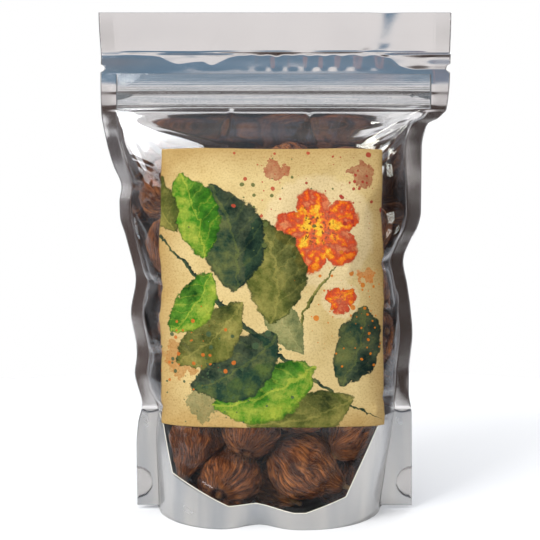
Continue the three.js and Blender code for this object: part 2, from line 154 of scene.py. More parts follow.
def ridged(p, octaves, seed=0):
    """Noise folded into narrow valleys, from 0 in a valley to 1."""
    total, weight = 0, 0
    for k in range(octaves):
        total = total + np.abs(noise(np.asarray(p) * 2 ** k, seed + k)) ** 0.8 / 1.6 ** k
        weight += 1 / 1.6 ** k
    return np.clip(total / weight * 1.9, 0, 1)


# The webs' shape: a bulge like the solids', with the flat facets and creases of a stiff film
SEAL_COLUMNS = 12
BODY_COLUMNS = 224
WEB_ROWS = 344
ROW_DENSITY = curve([
    (0, 9), (0.7, 1.3), (20, 1), (195, 1), (215, 1.5), (228, 2), (247, 2), (248.5, 3), (251.5, 3), (253, 2),
    (256, 2.6), (261, 2.6), (263, 0.8), (281.2, 0.8), (HEIGHT, 9)])
# How far both webs lie behind the middle plane
HEADER_SET = curve([
    (0, 0), (57, 0), (63, 0.1), (108, 1.6), (190, 0), (216, 0), (228, -1.2), (239.5, -1.2), (246, -0.45),
    (251, 0.95), (258.2, 3.3), (262, 3.3), (HEIGHT, 3.1)])
# How far the flanges bend back, as (z, value)
LEFT_WAVE = curve([
    (0, 0), (57, 0), (80, 0.2), (110, 0.4), (150, 0.1), (180, 0.5), (190, 1.3), (208, 3.2), (218, 1.2),
    (228, 0.2), (HEIGHT, 0)])
RIGHT_WAVE = curve([(0, 0), (57, 0), (80, 0.3), (120, 0.5), (190, 0.7), (208, 0.4), (222, 0), (HEIGHT, 0)])
# How far the loose film under the top seal hangs straight down from it
LOBES = curve([
    (-100, 0.2), (-74, 0.2), (-67, 1), (-62, 3.6), (-55, 5.6), (-47, 4.6), (-41, 4.2), (-36, 6), (-31, 4.2),
    (-24, 1.5), (-20, 0.3), (8, 0.2), (58, 0.4), (64, 2), (71, 7), (80, 9), (100, 9)])
# Flat facets: planes through three points, each with its x, z and depth
FACETS = {
    "front": [
        (-89, 224, 0.6, -46, 205, 17, -70, 172, 16.5), (84, 226, 0.6, 50, 207, 15, 68, 186, 15),
        (-72, 150, 12, -60, 172, 22, -62, 128, 24.5), (68, 152, 12, 56, 176, 20, 58, 120, 24),
        (-70, 96, 14, -58, 118, 28, -58, 74, 28), (68, 90, 12, 56, 110, 27, 57, 64, 27)],
    "back": [
        (-86, 223, 1, -40, 205, 15.5, -62, 176, 19), (86, 223, 1, 36, 204, 16.5, 60, 172, 19),
        (-70, 140, 14, -56, 164, 25, -56, 108, 29), (66, 132, 14, 50, 160, 27, 52, 96, 30),
        (-40, 186, 22, 0, 178, 29.5, -20, 204, 15.5), (30, 186, 24, 4, 206, 15, 52, 204, 11.5)],
}
# Creases: from x, z, to x, z, height (in where it is negative), half-width at the start and at the end
CREASES = {
    "front": [
        (86, 229, 58, 222, 0.9, 0.5, 1.8), (86, 229, 51, 216, -1, 0.5, 2.2),
        (86, 229, 48, 207, 1.3, 0.6, 2.6), (85, 228, 56, 203, -1.2, 0.6, 2.2),
        (85, 228, 64, 197, 1.3, 0.6, 2.2), (84, 226, 70, 190, -1.2, 0.6, 2),
        (82, 222, 72, 182, 1, 0.6, 1.8), (-88, 214, -78, 182, -0.3, 0.6, 1.6),
        (-84, 200, -66, 192, 1.1, 2.5, 2), (-84, 185, -64, 178, -2.4, 4, 3),
        (-82, 176, -64, 150, 1.6, 0.8, 3.4), (-81, 174, -70, 122, 1.3, 0.8, 2.6),
        (-75, 131, -60, 126, -2, 5, 3.5), (-74, 118, -66, 84, 1.1, 1, 2.6),
        (-73, 88, -60, 92, -1.3, 5, 3.5), (-68, 60, -56, 62, -1.6, 3.5, 3),
        (66, 141, 48, 138, -2.4, 5, 3.5), (72, 166, 60, 142, 1.6, 0.8, 3.2),
        (70, 132, 64, 92, 1.3, 0.8, 2.8), (68, 118, 55, 121, 0.9, 5, 4),
        (67, 66, 54, 68, -1.6, 4, 3), (73, 172, 58, 166, -1.2, 5, 4),
        (-26, 227, -30, 209, 0.6, 1.5, 5), (24, 227, 16, 207, -0.8, 2, 6),
        (40, 227, 33, 209, 0.6, 1.5, 5)],
    "back": [
        (88, 225, 48, 205, 1.2, 0.8, 4), (88, 225, 56, 190, -1.5, 1, 5),
        (86, 221, 66, 180, 1.2, 1, 4), (-88, 225, -52, 194, 1.6, 0.8, 5),
        (-86, 220, -66, 178, -1.3, 0.8, 4), (-82, 183, -50, 178, -2.4, 4, 3),
        (-78, 172, -48, 140, 1.5, 0.8, 4), (-75, 131, -40, 124, -2.2, 5, 3.5),
        (-73, 112, -52, 92, 1.3, 0.8, 4), (-73, 88, -48, 92, -1.5, 5, 3.5),
        (-68, 60, -40, 66, -1.8, 3.5, 3), (70, 150, 40, 160, 1.5, 0.8, 4),
        (66, 141, 32, 134, -2.4, 5, 3.5), (68, 122, 46, 104, 1.3, 0.8, 4),
        (70, 98, 46, 88, -1.4, 5, 4), (67, 66, 40, 72, -1.8, 4, 3),
        (74, 176, 46, 170, -1.4, 5, 4), (-24, 227, -30, 204, 0.8, 2, 6),
        (18, 227, 26, 202, -0.8, 2, 6)],
}
# The same for the folds in the header, which both webs share
HEADER_CREASES = [(46, 258, 66, 265, 0.12, 2, 3.5), (-38, 256, -31, 270, 0.05, 1, 2),
                  (26, 257, 30, 284, 0.06, 3, 6)]
# Ridges of the films over the zipper and the top seal, as height along z
FRONT_RELIEF = curve([
    (0, 0), (224.8, 0), (226.5, -0.16), (229, 0.06), (234.8, -0.08), (236.3, 0.17), (239.5, 0.17),
    (240.4, 0.1), (246, 0.1), (249, 0), (HEIGHT, 0)])
BACK_RELIEF = curve([
    (0, 0), (225, 0), (226.5, 0.2), (229, -0.1), (235, 0), (236.4, -0.12), (239.5, 0), (246, 0.1), (250, 0),
    (HEIGHT, 0)])


def notch(z):
    """How deep the tear notches cut into both edges."""
    return np.sqrt(np.clip(NOTCH_RADIUS ** 2 - (z - NOTCH_Z) ** 2, 0, None))


def left_seam(z):
    return LEFT_EDGE(z) + LEFT_FLANGE(z)


def right_seam(z):
    return RIGHT_EDGE(z) - RIGHT_FLANGE(z)


def bulge(x, z, web):
    """How far a web stands off the middle plane inside the seams."""
    left, right = left_seam(z), right_seam(z)
    across = np.clip(np.abs((2 * x - left - right) / (right - left)), 0, 1)
    where, share, width = HOLLOWS[web]
    low = np.clip(1 - z / HOLLOW_TOP, 0, 1) ** 2
    dent = 1 - share * low * hump(x, where, width)
    return DEPTH(z) * dent * (1 - across ** SQUARENESS(z)) ** ROUNDING(z)


def across_flange(x, z):
    """0 at a seam and inside it, 1 at the pouch's edge."""
    out = np.maximum((left_seam(z) - x) / LEFT_FLANGE(z), (x - right_seam(z)) / RIGHT_FLANGE(z))
    return np.clip(out, 0, 1)


def half_space(x, z):
    """Half the space between the webs in the flanges: room for the gusset's ends, none in their holes."""
    leg = LEG_SPACE * (1 - smooth((z - GUSSET_HEIGHT + 0.8) / 1.6))
    edge = np.where(x < 0, LEFT_EDGE(z), RIGHT_EDGE(z))
    in_punch = smooth((PUNCH_RADIUS + 0.5 - np.hypot(x - edge, z - PUNCH_Z)) / 1.0)
    return SEAL_GAP / 2 + leg * (1 - in_punch)


def web_rows():
    """Heights of the rows of points, closer together over the zipper and the notches."""
    z = np.linspace(0, HEIGHT, 3000)
    total = np.cumsum(ROW_DENSITY(z))
    return np.interp(np.linspace(total[0], total[-1], WEB_ROWS), total, z)


def web_columns(z, web):
    """The x of each column at one height, evenly spaced along the film."""
    left, right = float(left_seam(z)), float(right_seam(z))
    x = (left + right) / 2 + (right - left) / 2 * np.sin(np.linspace(-math.pi / 2, math.pi / 2, 401))
    y = bulge(x, np.full_like(x, z), web)
    arc = np.concatenate([[0], np.cumsum(np.hypot(np.diff(x), np.diff(y)))])
    body = np.interp(np.linspace(0, arc[-1], BODY_COLUMNS + 1), arc, x)
    outer_left = np.linspace(float(LEFT_EDGE(z) + notch(z)), left, SEAL_COLUMNS + 1)[:-1]
    outer_right = np.linspace(right, float(RIGHT_EDGE(z) - notch(z)), SEAL_COLUMNS + 1)[1:]
    return np.concatenate([outer_left, body, outer_right])


def flat_film(z):
    """Where the points lie on the flat film, in millimetres from its lower left corner."""
    left, right, width = 8.5, 190.5, 200
    across = np.concatenate([
        np.linspace(0, left, SEAL_COLUMNS + 1)[:-1], np.linspace(left, right, BODY_COLUMNS + 1),
        np.linspace(right, width, SEAL_COLUMNS + 1)[1:]])
    return stacked(across[None, :], z[:, None])


def facet(depth, x, z, corners):
    """Cuts a bulge by a plane through three points, between the lowest and the highest of them."""
    a, b, c = np.reshape(corners, (3, 3)).astype(float)
    n = np.cross(b - a, c - a)
    plane = a[2] - (n[0] * (x - a[0]) + n[1] * (z - a[1])) / n[2]
    soft, fade = 0.4, 14
    cut = (depth + plane - np.sqrt((depth - plane) ** 2 + soft ** 2)) / 2
    low, high = min(a[1], b[1], c[1]), max(a[1], b[1], c[1])
    return depth + (cut - depth) * smooth((z - low + fade) / fade) * smooth((high + fade - z) / fade)


def crease(x, z, x0, z0, x1, z1, height, w0, w1):
    """A fold with flat flanks along a line, which grows from nothing at its start and fades at its end."""
    length = math.hypot(x1 - x0, z1 - z0)
    t = ((x - x0) * (x1 - x0) + (z - z0) * (z1 - z0)) / length ** 2
    d = ((x - x0) * (z1 - z0) - (z - z0) * (x1 - x0)) / length
    width = w0 + (w1 - w0) * np.clip(t, 0, 1)
    tent = np.clip(1.05 - np.sqrt((d / width) ** 2 + 0.01), 0, None)
    return height * tent * smooth((t + 0.05) / 0.35) * rise(t, 1.1, -0.35)


def plain_web(web):
    """A web before its fine detail: points, x, z and depth."""
    rows = web_rows()
    x = np.array([web_columns(z, web) for z in rows])
    z = np.repeat(rows[:, None], x.shape[1], axis=1)
    depth = bulge(x, z, web)
    depth[(x <= left_seam(z)) | (x >= right_seam(z))] = 0
    cut = depth.copy()
    for corners in FACETS[web]:
        cut = facet(cut, x, z, corners)
    above = rise(z, GUSSET_HEIGHT, 12) * rise(z, 228, -4) * smooth(depth / 3)
    depth = depth + (np.maximum(cut, 0.2 * depth) - depth) * above
    wave = np.where(x < 0, LEFT_WAVE(z), RIGHT_WAVE(z)) + 0.25 * FLANGE_BEND(z)
    off = np.maximum(half_space(x, z), SEAL_GAP / 2 + depth)
    y = HEADER_SET(z) + wave * across_flange(x, z) + SIDE[web] * (FILM / 2 + off)
    lift = LEG_LIFT * (across_flange(x, z) > 0) * (1 - z / 14)
    return np.stack([x, y, z + np.clip(lift, 0, None)], axis=-1), x, z, depth


def grid_normals(p, towards):
    """Unit normals of a grid of points, on the side where y has the sign of towards."""
    n = np.cross(np.gradient(p, axis=1), np.gradient(p, axis=0))
    n /= np.maximum(np.linalg.norm(n, axis=-1, keepdims=True), 1e-9)
    return n * (1 if n[..., 1].mean() * towards > 0 else -1)


def spread(a, step):
    """One pass of smoothing over the neighbours some rows and columns away."""
    a = (np.roll(a, step, 0) + 2 * a + np.roll(a, -step, 0)) / 4
    return (np.roll(a, step, 1) + 2 * a + np.roll(a, -step, 1)) / 4


# How far outside and inside a web figs are looked for, and the height above which there are none
LOOK_OUT, NO_FIG, FIGS_TOP = 9, -12.0, 222


def fig_heights(p, n):
    """How far the figs' skins stand out of a web along its normals, NO_FIG where none is near."""
    start = p + n * LOOK_OUT
    height = np.full(p.shape[:2], NO_FIG)
    for j in range(p.shape[0]):
        if p[j, 0, 2] > FIGS_TOP:
            break
        for i in range(p.shape[1]):
            hit = fig_tree.ray_cast(Vector(start[j, i]), Vector(-n[j, i]), LOOK_OUT - NO_FIG)
            if hit[3] is not None:
                height[j, i] = LOOK_OUT - hit[3]
    return height


def draped(obstacle, free, pull):
    """A stretched skin that is pulled inwards and rests on the figs. It stays put where it isn't free."""
    h = np.zeros(obstacle.shape)
    for step in (8, 4, 2, 1):
        for _ in range(30):
            h = spread(h, step) - pull * step ** 2
            h = np.clip(np.maximum(h, obstacle), -6, 2.5) * free
    return h


def arc_distance(x, z):
    """Distance above the arc where the gusset's seal ends."""
    slope = seal_top(x + 0.5) - seal_top(x - 0.5)
    return (z - seal_top(x)) / np.sqrt(1 + slope ** 2)


def under_label(x, z):
    """1 under the label, 0 beside it."""
    share, margin = 1, 3
    for low, at, high in ((LABEL["left"], x, LABEL["right"]), (LABEL["bottom"], z, LABEL["top"])):
        share = share * smooth((at - low + margin) / (2 * margin))
        share = share * smooth((high + margin - at) / (2 * margin))
    return share


def over_figs(p, n, free, tight):
    """How far a web stands out over the figs, spanning them stiffly where it is tight, and their skins."""
    peaks = fig_heights(p, n) + 0.3
    near = [np.roll(np.roll(peaks, a, 0), b, 1) for a in (-1, 0, 1) for b in (-1, 0, 1)]
    peaks = np.maximum(spread(np.maximum.reduce(near), 1), peaks)
    h = draped(peaks, free, 0.004)
    stiff = h
    for step in (6, 4, 2, 1):
        for _ in range(6):
            stiff = np.maximum(spread(stiff, step), h)
    return h + (stiff - h) * tight, peaks


# The zipper's upper rim and the top seal's lower rim
ZIP_RIM, TOP_SEAL = 248, 258.5


def upper_relief(web, x, z, from_seam):
    """Relief of the zipper and the top seal, and the flutes of the loose film between them."""
    run = 0.4 + 0.6 * smooth((from_seam + 5) / 5)
    wavy = 1.4 * noise_x(x, 21, 5) * rise(z, ZIP_RIM, 5)
    relief = FRONT_RELIEF(z + wavy) if web == "front" else BACK_RELIEF(z)
    seal_strength = 1 - rise(z, 254, 1.5) * (0.55 - 0.75 * noise_x(x, 13, 6))
    band = rise(z, ZIP_RIM + 0.5, 3) * rise(z, TOP_SEAL, -2) * smooth(from_seam / 9)
    lean = 0.25 * (z - 252) * noise_x(x, 20, 4)
    flutes = np.sin((x + lean) * 2 * math.pi / 9.5 + 5 * noise_x(x, 34, 7))
    flutes = flutes * rise(x, -22, 12) * rise(x, 70, -6)
    fine = 0.22 * flutes * (0.6 + 0.4 * noise_xz(x, z, 13, 9, 3)) + 0.12 * noise_xz(x, z, 12, 8, 8)
    return relief * run * seal_strength, fine * band


def shared_relief(x, z, inside):
    """What both webs do together: the header's folds and the flanges' flutter."""
    header = rise(z, TOP_SEAL - 1, 3)
    shared = 0.2 * noise_xz(x, z, 42, 60, 11) * header
    for args in HEADER_CREASES:
        shared = shared + crease(x, z, *args) * header
    # A dent in the header, to the right
    dent = hump(x - 60 - 0.15 * (z - 262), 0, 6.5) * rise(z, 260, 6)
    shared = shared + 0.065 * (z - 260) * dent
    # The lobes under the seal, with a pinched line above them
    steep = 0.13 + 0.2 * rise(x, 62, 24)
    shared = shared - steep * np.clip(z - 258.4 + LOBES(x), 0, None) * (1 - rise(z, 257.8, 1.4))
    pinch = hump(z - 259.6 + 0.7 * noise_x(x, 24, 15), 0, 0.5)
    shared = shared - pinch * np.clip(0.1 + 0.16 * noise_x(x, 17, 16), 0, None) * inside
    rim = np.where(x < 0, 0.0, 500.0)
    flutter = noise_xz(rim, z, 1, 13, 12) * rise(z, 60, 12) * rise(z, 226, -10) * across_flange(x, z)
    return shared + 0.14 * flutter


def finished_web(web):
    """A web's points with all its detail, and the (x, z) that each had before."""
    p, x, z, depth = plain_web(web)
    n = grid_normals(p, SIDE[web])
    from_seam = np.minimum(x - left_seam(z), right_seam(z) - x)
    inside = smooth(from_seam / 9)
    arc = arc_distance(x, z)
    free = inside * rise(z, 218, -14) * smooth((arc + 1) / 6)
    on_label, calm, tight, seed = 0, 0, 0.8 * inside, 200
    if web == "front":
        on_label, calm, seed = under_label(x, z), rise(z, 182, 8) * rise(x, -34, -8), 100
        tight = on_label
    h, peaks = over_figs(p, n, free, tight)
    h = h * (1 - calm)
    for args in CREASES[web]:
        h = h + crease(x, z, *args) * (1 - 0.85 * on_label) * smooth(depth / 2.5)
    # The film's own small waves, strongest beside the seals
    waves = (noise_xz(x, z, 26, 15, seed) + 0.5 * noise_xz(x, z, 11, 7, seed + 1)
             + 0.25 * noise_xz(x, z, 5, 3, seed + 2))
    waves = waves * (0.2 + 0.45 * (1 - smooth(from_seam / 26))) * free
    h = h + waves * (1 - 0.6 * on_label) * (1 - 0.8 * calm)
    h = np.where(peaks > NO_FIG + 1, np.maximum(h, peaks), h)
    for relief in upper_relief(web, x, z, from_seam):
        h = h + relief
    # The bead on the seal's arc, and the wavy skirt under it
    if web == "front":
        h = h + 0.3 * hump(arc, 0.4, 0.75) * smooth((from_seam + 1) / 3)
    h = h + 0.3 * noise_xz(x, z, 13, 50, 10) * smooth(-arc / 5) * inside
    # A fine bead along the side seams, from the seal bar's edge
    h = h + 0.2 * hump(from_seam, 0.6, 0.8) * rise(z, 60, 8) * rise(z, 222, -8)
    p = p + n * h[..., None]
    p[..., 1] += shared_relief(x, z, inside)
    return p, x, z


def on_web(web, x, z):
    """The point of a finished web that lay at (x, z) before its detail was added."""
    points, x0, z0 = webs[web]
    rows = z0[:, 0]
    j = int(np.clip(np.searchsorted(rows, z) - 1, 0, len(rows) - 2))
    t = np.clip((z - rows[j]) / (rows[j + 1] - rows[j]), 0, 1)
    below, above = ([np.interp(x, x0[k], points[k, :, axis]) for axis in range(3)] for k in (j, j + 1))
    return np.array(below) * (1 - t) + np.array(above) * t


# Meshes are gathered as parts: points in millimetres, faces and, for the films, flat coordinates


def sheet_part(p, thickness, flat, keep=None):
    """A closed sheet about a grid of points. keep says which of its quads are there."""
    rows, cols = p.shape[:2]
    n = grid_normals(p, 1) * thickness / 2
    points = np.concatenate([(p + n).reshape(-1, 3), (p - n).reshape(-1, 3)])
    a = np.arange(rows - 1)[:, None] * cols + np.arange(cols - 1)[None, :]
    keep = np.ones(a.shape, bool) if keep is None else keep
    quads = np.stack([a, a + 1, a + cols + 1, a + cols], axis=-1)
    faces = [quads[keep], quads[keep][:, ::-1] + rows * cols]
    padded = np.pad(keep, 1)
    for down, right, first in ((-1, 0, 0), (0, 1, 1), (1, 0, 2), (0, -1, 3)):
        beside = padded[1 + down:rows + down, 1 + right:cols + right]
        start, end = quads[keep & ~beside][:, first], quads[keep & ~beside][:, (first + 1) % 4]
        faces.append(np.stack([end, start, start + rows * cols, end + rows * cols], axis=-1))
    used, faces = np.unique(np.concatenate(faces), return_inverse=True)
    return points[used], faces.reshape(-1, 4).tolist(), np.concatenate([flat.reshape(-1, 2)] * 2)[used]


def ball_part(rows):
    """A closed skin through rings of points, with one point at each end."""
    turns, last = rows.shape[1], (rows.shape[0] - 2) * rows.shape[1] + 1
    points = np.concatenate([rows[0, :1], rows[1:-1].reshape(-1, rows.shape[2]), rows[-1, :1]])
    ring = 1 + np.arange(rows.shape[0] - 3)[:, None] * turns
    a, b = ring + np.arange(turns), ring + (np.arange(turns) + 1) % turns
    faces = np.stack([a, a + turns, b + turns, b], axis=-1).reshape(-1, 4).tolist()
    for i in range(turns):
        j = (i + 1) % turns
        faces += [(0, 1 + i, 1 + j), (last, last - turns + j, last - turns + i)]
    return points, faces


def tube_part(rings):
    """A closed tube through rings of points, with flat ends."""
    count, sides = rings.shape[:2]
    a = np.arange(count - 1)[:, None] * sides + np.arange(sides)[None, :]
    b = np.arange(count - 1)[:, None] * sides + (np.arange(sides)[None, :] + 1) % sides
    faces = np.stack([a, b, b + sides, a + sides], axis=-1).reshape(-1, 4).tolist()
    faces += [list(range(sides))[::-1], list(range((count - 1) * sides, count * sides))]
    return rings.reshape(-1, 3), faces


def make_mesh(name, parts, soft=True):
    points, faces, flat = [], [], []
    for part in parts:
        first = len(points)
        points += (part[0] * MM).tolist()
        faces += [[first + v for v in face] for face in part[1]]
        if len(part) > 2:
            flat += part[2].tolist()
    mesh = bpy.data.meshes.new(name)
    mesh.from_pydata(points, [], faces)
    if flat:
        corners = np.array([v for face in faces for v in face])
        layer = mesh.uv_layers.new(name="flat")
        layer.data.foreach_set("uv", (np.array(flat)[corners] / HEIGHT).astype(np.float32).ravel())
    mesh.polygons.foreach_set("use_smooth", np.full(len(faces), soft))
    mesh.update()
    return mesh


def add_piece(mesh, material, nodes):
    piece = bpy.data.objects.new(mesh.name, mesh)
    bpy.context.scene.collection.objects.link(piece)
    mesh.materials.append(material)
    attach(piece, "root")
    if nodes:
        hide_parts(*nodes)
    return piece


# Node trees, written as sums: a Value is a node's output, and a Net adds nodes to one tree
FULL_TURN = 2 * math.pi


def arithmetic(operation):
    return lambda first, *others: first.net.math(operation, first, *others)


class Value:
    """A node's output. Arithmetic and comparisons on it add Math nodes."""

    def __init__(self, net, socket):
        self.net, self.socket = net, socket

    __add__, __sub__, __mul__ = arithmetic("ADD"), arithmetic("SUBTRACT"), arithmetic("MULTIPLY")
    __truediv__, __pow__, __abs__ = arithmetic("DIVIDE"), arithmetic("POWER"), arithmetic("ABSOLUTE")
    __lt__, __gt__ = arithmetic("LESS_THAN"), arithmetic("GREATER_THAN")
    lesser, greater, sine = arithmetic("MINIMUM"), arithmetic("MAXIMUM"), arithmetic("SINE")

    def __rsub__(self, number):
        return self.net.math("SUBTRACT", number, self)

    def map(self, low, high, to_low=0, to_high=1):
        return self.net.value("ShaderNodeMapRange", {0: self, 1: low, 2: high, 3: to_low, 4: to_high})

    def ramp(self, *stops):
        made = self.net.node("ShaderNodeValToRGB", {0: self})
        elements = made.color_ramp.elements
        while len(elements) < len(stops):
            elements.new(0.5)
        for element, (place, colour) in zip(elements, stops):
            element.position = place
            element.color = (*colour, 1)
        return Value(self.net, made.outputs[0])

    def split(self):
        made = self.net.node("ShaderNodeSeparateXYZ", {0: self})
        return [Value(self.net, socket) for socket in made.outputs]

    def vector(self, operation, other=None, output=0):
        return self.net.value("ShaderNodeVectorMath", {0: self, 1: other}, output, operation=operation)

    def noise(self, scale, detail=2, rough=0.5, output="Fac"):
        values = {"Vector": self, "Scale": scale, "Detail": detail, "Roughness": rough}
        return self.net.value("ShaderNodeTexNoise", values, output)

    def cells(self, scale, randomness=1, dimensions="2D"):
        """Random cells: the distance from a cell's point, the cell's colour and the point."""
        values = {"Vector": self, "Scale": scale, "Randomness": randomness}
        made = self.net.node("ShaderNodeTexVoronoi", values, voronoi_dimensions=dimensions)
        return [Value(self.net, made.outputs[name]) for name in ("Distance", "Color", "Position")]


class Net:
    """Adds nodes to one tree."""

    def __init__(self, tree):
        self.tree = tree

    def node(self, kind, values=None, **settings):
        made = self.tree.nodes.new(kind)
        for name, setting in settings.items():
            setattr(made, name, setting)
        for name, value in (values or {}).items():
            if isinstance(value, Value):
                self.tree.links.new(value.socket, made.inputs[name])
            elif value is not None:
                made.inputs[name].default_value = value
        return made

    def value(self, kind, values=None, output=0, **settings):
        return Value(self, self.node(kind, values, **settings).outputs[output])

    def math(self, operation, *values, clamp=False):
        return self.value("ShaderNodeMath", dict(enumerate(values)), operation=operation, use_clamp=clamp)

    def flat(self):
        """Millimetres on the flat film or label."""
        return self.value("ShaderNodeUVMap", uv_map="flat").vector("MULTIPLY", (HEIGHT, HEIGHT, 0))

    def object(self):
        return self.value("ShaderNodeTexCoord", output="Object")

    def attribute(self, name, output="Fac"):
        return self.value("ShaderNodeAttribute", output=output, attribute_name=name)

    def mix(self, share, a, b, blend="MIX"):
        a, b = (part if isinstance(part, Value) else (*part, 1) for part in (a, b))
        return self.value("ShaderNodeMix", {0: share, 6: a, 7: b}, 2, data_type="RGBA", blend_type=blend)

    def bump(self, height, strength, distance, normal=None):
        values = {"Height": height, "Strength": strength, "Distance": distance, "Normal": normal}
        return self.value("ShaderNodeBump", values)

    def facing(self, normal):
        """0 where the surface is seen head on, 1 where it is seen along."""
        return self.value("ShaderNodeLayerWeight", {"Blend": 0.5, "Normal": normal}, "Facing")

    def surface(self, colour, rough, normal=None, **more):
        values = {"Base Color": colour, "Roughness": rough, "Normal": normal}
        values.update((name.replace("_", " "), value) for name, value in more.items())
        return self.value("ShaderNodeBsdfPrincipled", values)


def as_material(shader):
    """Turns a function that makes a shader in a Net into the material of the same name."""
    made = bpy.data.materials.new(shader.__name__.replace("_", " "))
    made.use_nodes = True
    tree = made.node_tree
    tree.nodes.clear()
    out = tree.nodes.new("ShaderNodeOutputMaterial")
    tree.links.new(shader(Net(tree)).socket, out.inputs[0])
    return made


# Materials, each written as a function that as_material turns into the material of its name
FLAT_WIDTH = 200
SEAL_WIDTH, HATCH_PITCH = 8.2, 1.2
DOTS_FROM_EDGE, DOTS_PITCH = 9.3, 1.9


def seal_relief(net):
    """The seal bars' print: a fine cross-hatch on the side seals and a dotted line beside each."""
    u, v, _ = net.flat().split()
    from_edge = u.lesser(FLAT_WIDTH - u)
    pitch = FULL_TURN / HATCH_PITCH
    hatch = ((u + v) * pitch).sine().greater(((u - v) * pitch).sine()) * (from_edge < SEAL_WIDTH)
    dots = (v * (FULL_TURN / DOTS_PITCH)).sine() > -0.2
    return hatch + net.math("COMPARE", from_edge, DOTS_FROM_EDGE, 0.35) * dots * 2


@as_material
def clear_film(net):
    at = net.object()
    _, _, z = at.split()
    normal = net.bump(seal_relief(net), 0.12, 0.0001)
    normal = net.bump(at.noise(260, 3), 0.1, 0.0003, normal)
    clear = net.value("ShaderNodeBsdfTransparent", {"Color": (0.972, 0.968, 0.962, 1)})
    shine = net.surface((0.93, 0.94, 0.96, 1), 0.08, normal, Metallic=0.8)
    gloss = net.facing(normal) ** 2.5 * 0.65 * z.map(0.03, 0.055, 0.4)
    scuffs = at.noise(35, 4, 0.6).map(0.5, 0.8, 0, 0.012)
    haze = z.map(0.19, 0.212, 0, 0.05)
    veil = (haze + scuffs + 0.009) * z.map(0.224, 0.228, 1, 0.25)
    share = net.math("ADD", gloss, veil, clamp=True)
    return net.value("ShaderNodeMixShader", {0: share, 1: clear, 2: shine})


@as_material
def silver_film(net):
    """Silvered film, with a duller patch where the seal bars pressed it on to the gusset's ends."""
    at = net.object()
    normal = net.bump(seal_relief(net), 0.09, 0.0001)
    normal = net.bump(at.noise(120, 4, 0.55), 0.09, 0.0004, normal)
    u, v, _ = net.flat().split()
    pressed = (v < GUSSET_HEIGHT) * (u.lesser(FLAT_WIDTH - u) < 12)
    rough = at.noise(22, 3).map(0.3, 0.7, 0.09, 0.15) + pressed * 0.12
    tone = net.mix(at.noise(14), (0.83, 0.83, 0.85), (0.9, 0.89, 0.885))
    return net.surface(net.mix(pressed, tone, (0.56, 0.55, 0.55)), rough, normal, Metallic=1)


@as_material
def satin_film(net):
    """The gusset's duller film, with faint upright streaks."""
    at = net.object()
    normal = net.bump(at.noise(240, 4, 0.6), 0.3, 0.0004)
    streaks = at.vector("MULTIPLY", (1, 1, 0.15)).noise(55, 3).map(0.35, 0.65)
    tone = net.mix(streaks, (0.44, 0.46, 0.49), (0.66, 0.65, 0.635))
    return net.surface(tone, at.noise(30, 3).map(0.3, 0.7, 0.26, 0.4), normal, Metallic=1)


# A pale bead: its near-white, yellowish colour is a painted highlight along the seal's edge
@as_material
def seal_bead_with_painted_highlight(net):
    return net.surface(net.mix(net.object().noise(300), (0.9, 0.88, 0.7), (0.97, 0.96, 0.88)), 0.3)


@as_material
def zip_plastic(net):
    """The zipper's strips, silvered like the film, with fine ribs along them and a pressed grain."""
    at = net.object()
    _, _, z = at.split()
    grain = at.vector("MULTIPLY", (0.55, 1, 1)).noise(1500)
    normal = net.bump((z * (FULL_TURN / 0.0011)).sine(), 0.12, 0.00006)
    normal = net.bump(grain, 0.14, 0.0002, normal)
    streaks = at.vector("MULTIPLY", (0.03, 1, 1)).noise(900).map(0.3, 0.7)
    tone = net.mix(streaks, (0.72, 0.76, 0.79), (0.92, 0.93, 0.94))
    return net.surface(tone, grain.map(0.3, 0.7, 0.16, 0.26), normal, Metallic=0.9)


@as_material
def fig_skin(net):
    """Brown skin with painted shade in its folds and fine grooves, a painted highlight on its ribs, pale
    specks and a woody stem.
    """
    at = net.object()
    crest = abs(net.attribute("grain", "Vector").noise(1, 3, 0.6) - 0.5).map(0, 0.13)
    skin = at.noise(60, 3, 0.6).ramp((0.28, (0.085, 0.027, 0.01)), (0.48, (0.142, 0.048, 0.016)),
                                     (0.66, (0.215, 0.081, 0.026)), (0.8, (0.3, 0.13, 0.045)))
    # Painted shade in the folds and a painted highlight on the ribs, both from the skin's relief
    painted_shade_and_highlight = net.attribute("relief").ramp((0.05, (0.06, 0.03, 0.04)), (0.35, (0.36, 0.27, 0.28)),
                                         (0.62, (0.85, 0.81, 0.78)), (0.9, (1.4, 1.34, 1.15)))
    # Painted shade along the fine grooves that the crest bump presses in
    painted_groove_shade = crest.ramp((0, (0.2, 0.15, 0.18)), (0.2, (0.7, 0.66, 0.66)), (0.5, (1, 1, 1)),
                       (1, (1.6, 1.6, 1.5)))
    for painted_light_and_shade in (painted_shade_and_highlight, painted_groove_shade):
        skin = net.mix(1, skin, painted_light_and_shade, "MULTIPLY")
    distance, _, _ = at.cells(900, dimensions="3D")
    specks = distance.map(0.1, 0.24, 1, 0) * at.noise(150).map(0.5, 0.62, 0, 0.4)
    skin = net.mix(specks, skin, (0.40, 0.24, 0.12))
    wood = net.mix(at.noise(300), (0.2, 0.1, 0.04), (0.5, 0.3, 0.12))
    skin = net.mix(net.attribute("stem"), skin, wood)
    normal = net.bump(at.noise(520, 4, 0.65), 0.4, 0.0005, net.bump(crest, 0.8, 0.0008))
    rough = at.noise(130, 3).map(0.3, 0.7, 0.45, 0.7)
    return net.surface(skin, rough, normal, Subsurface_Weight=0.06, Subsurface_Scale=0.5,
                       Subsurface_Radius=(0.006, 0.002, 0.001), Specular_IOR_Level=0.35)


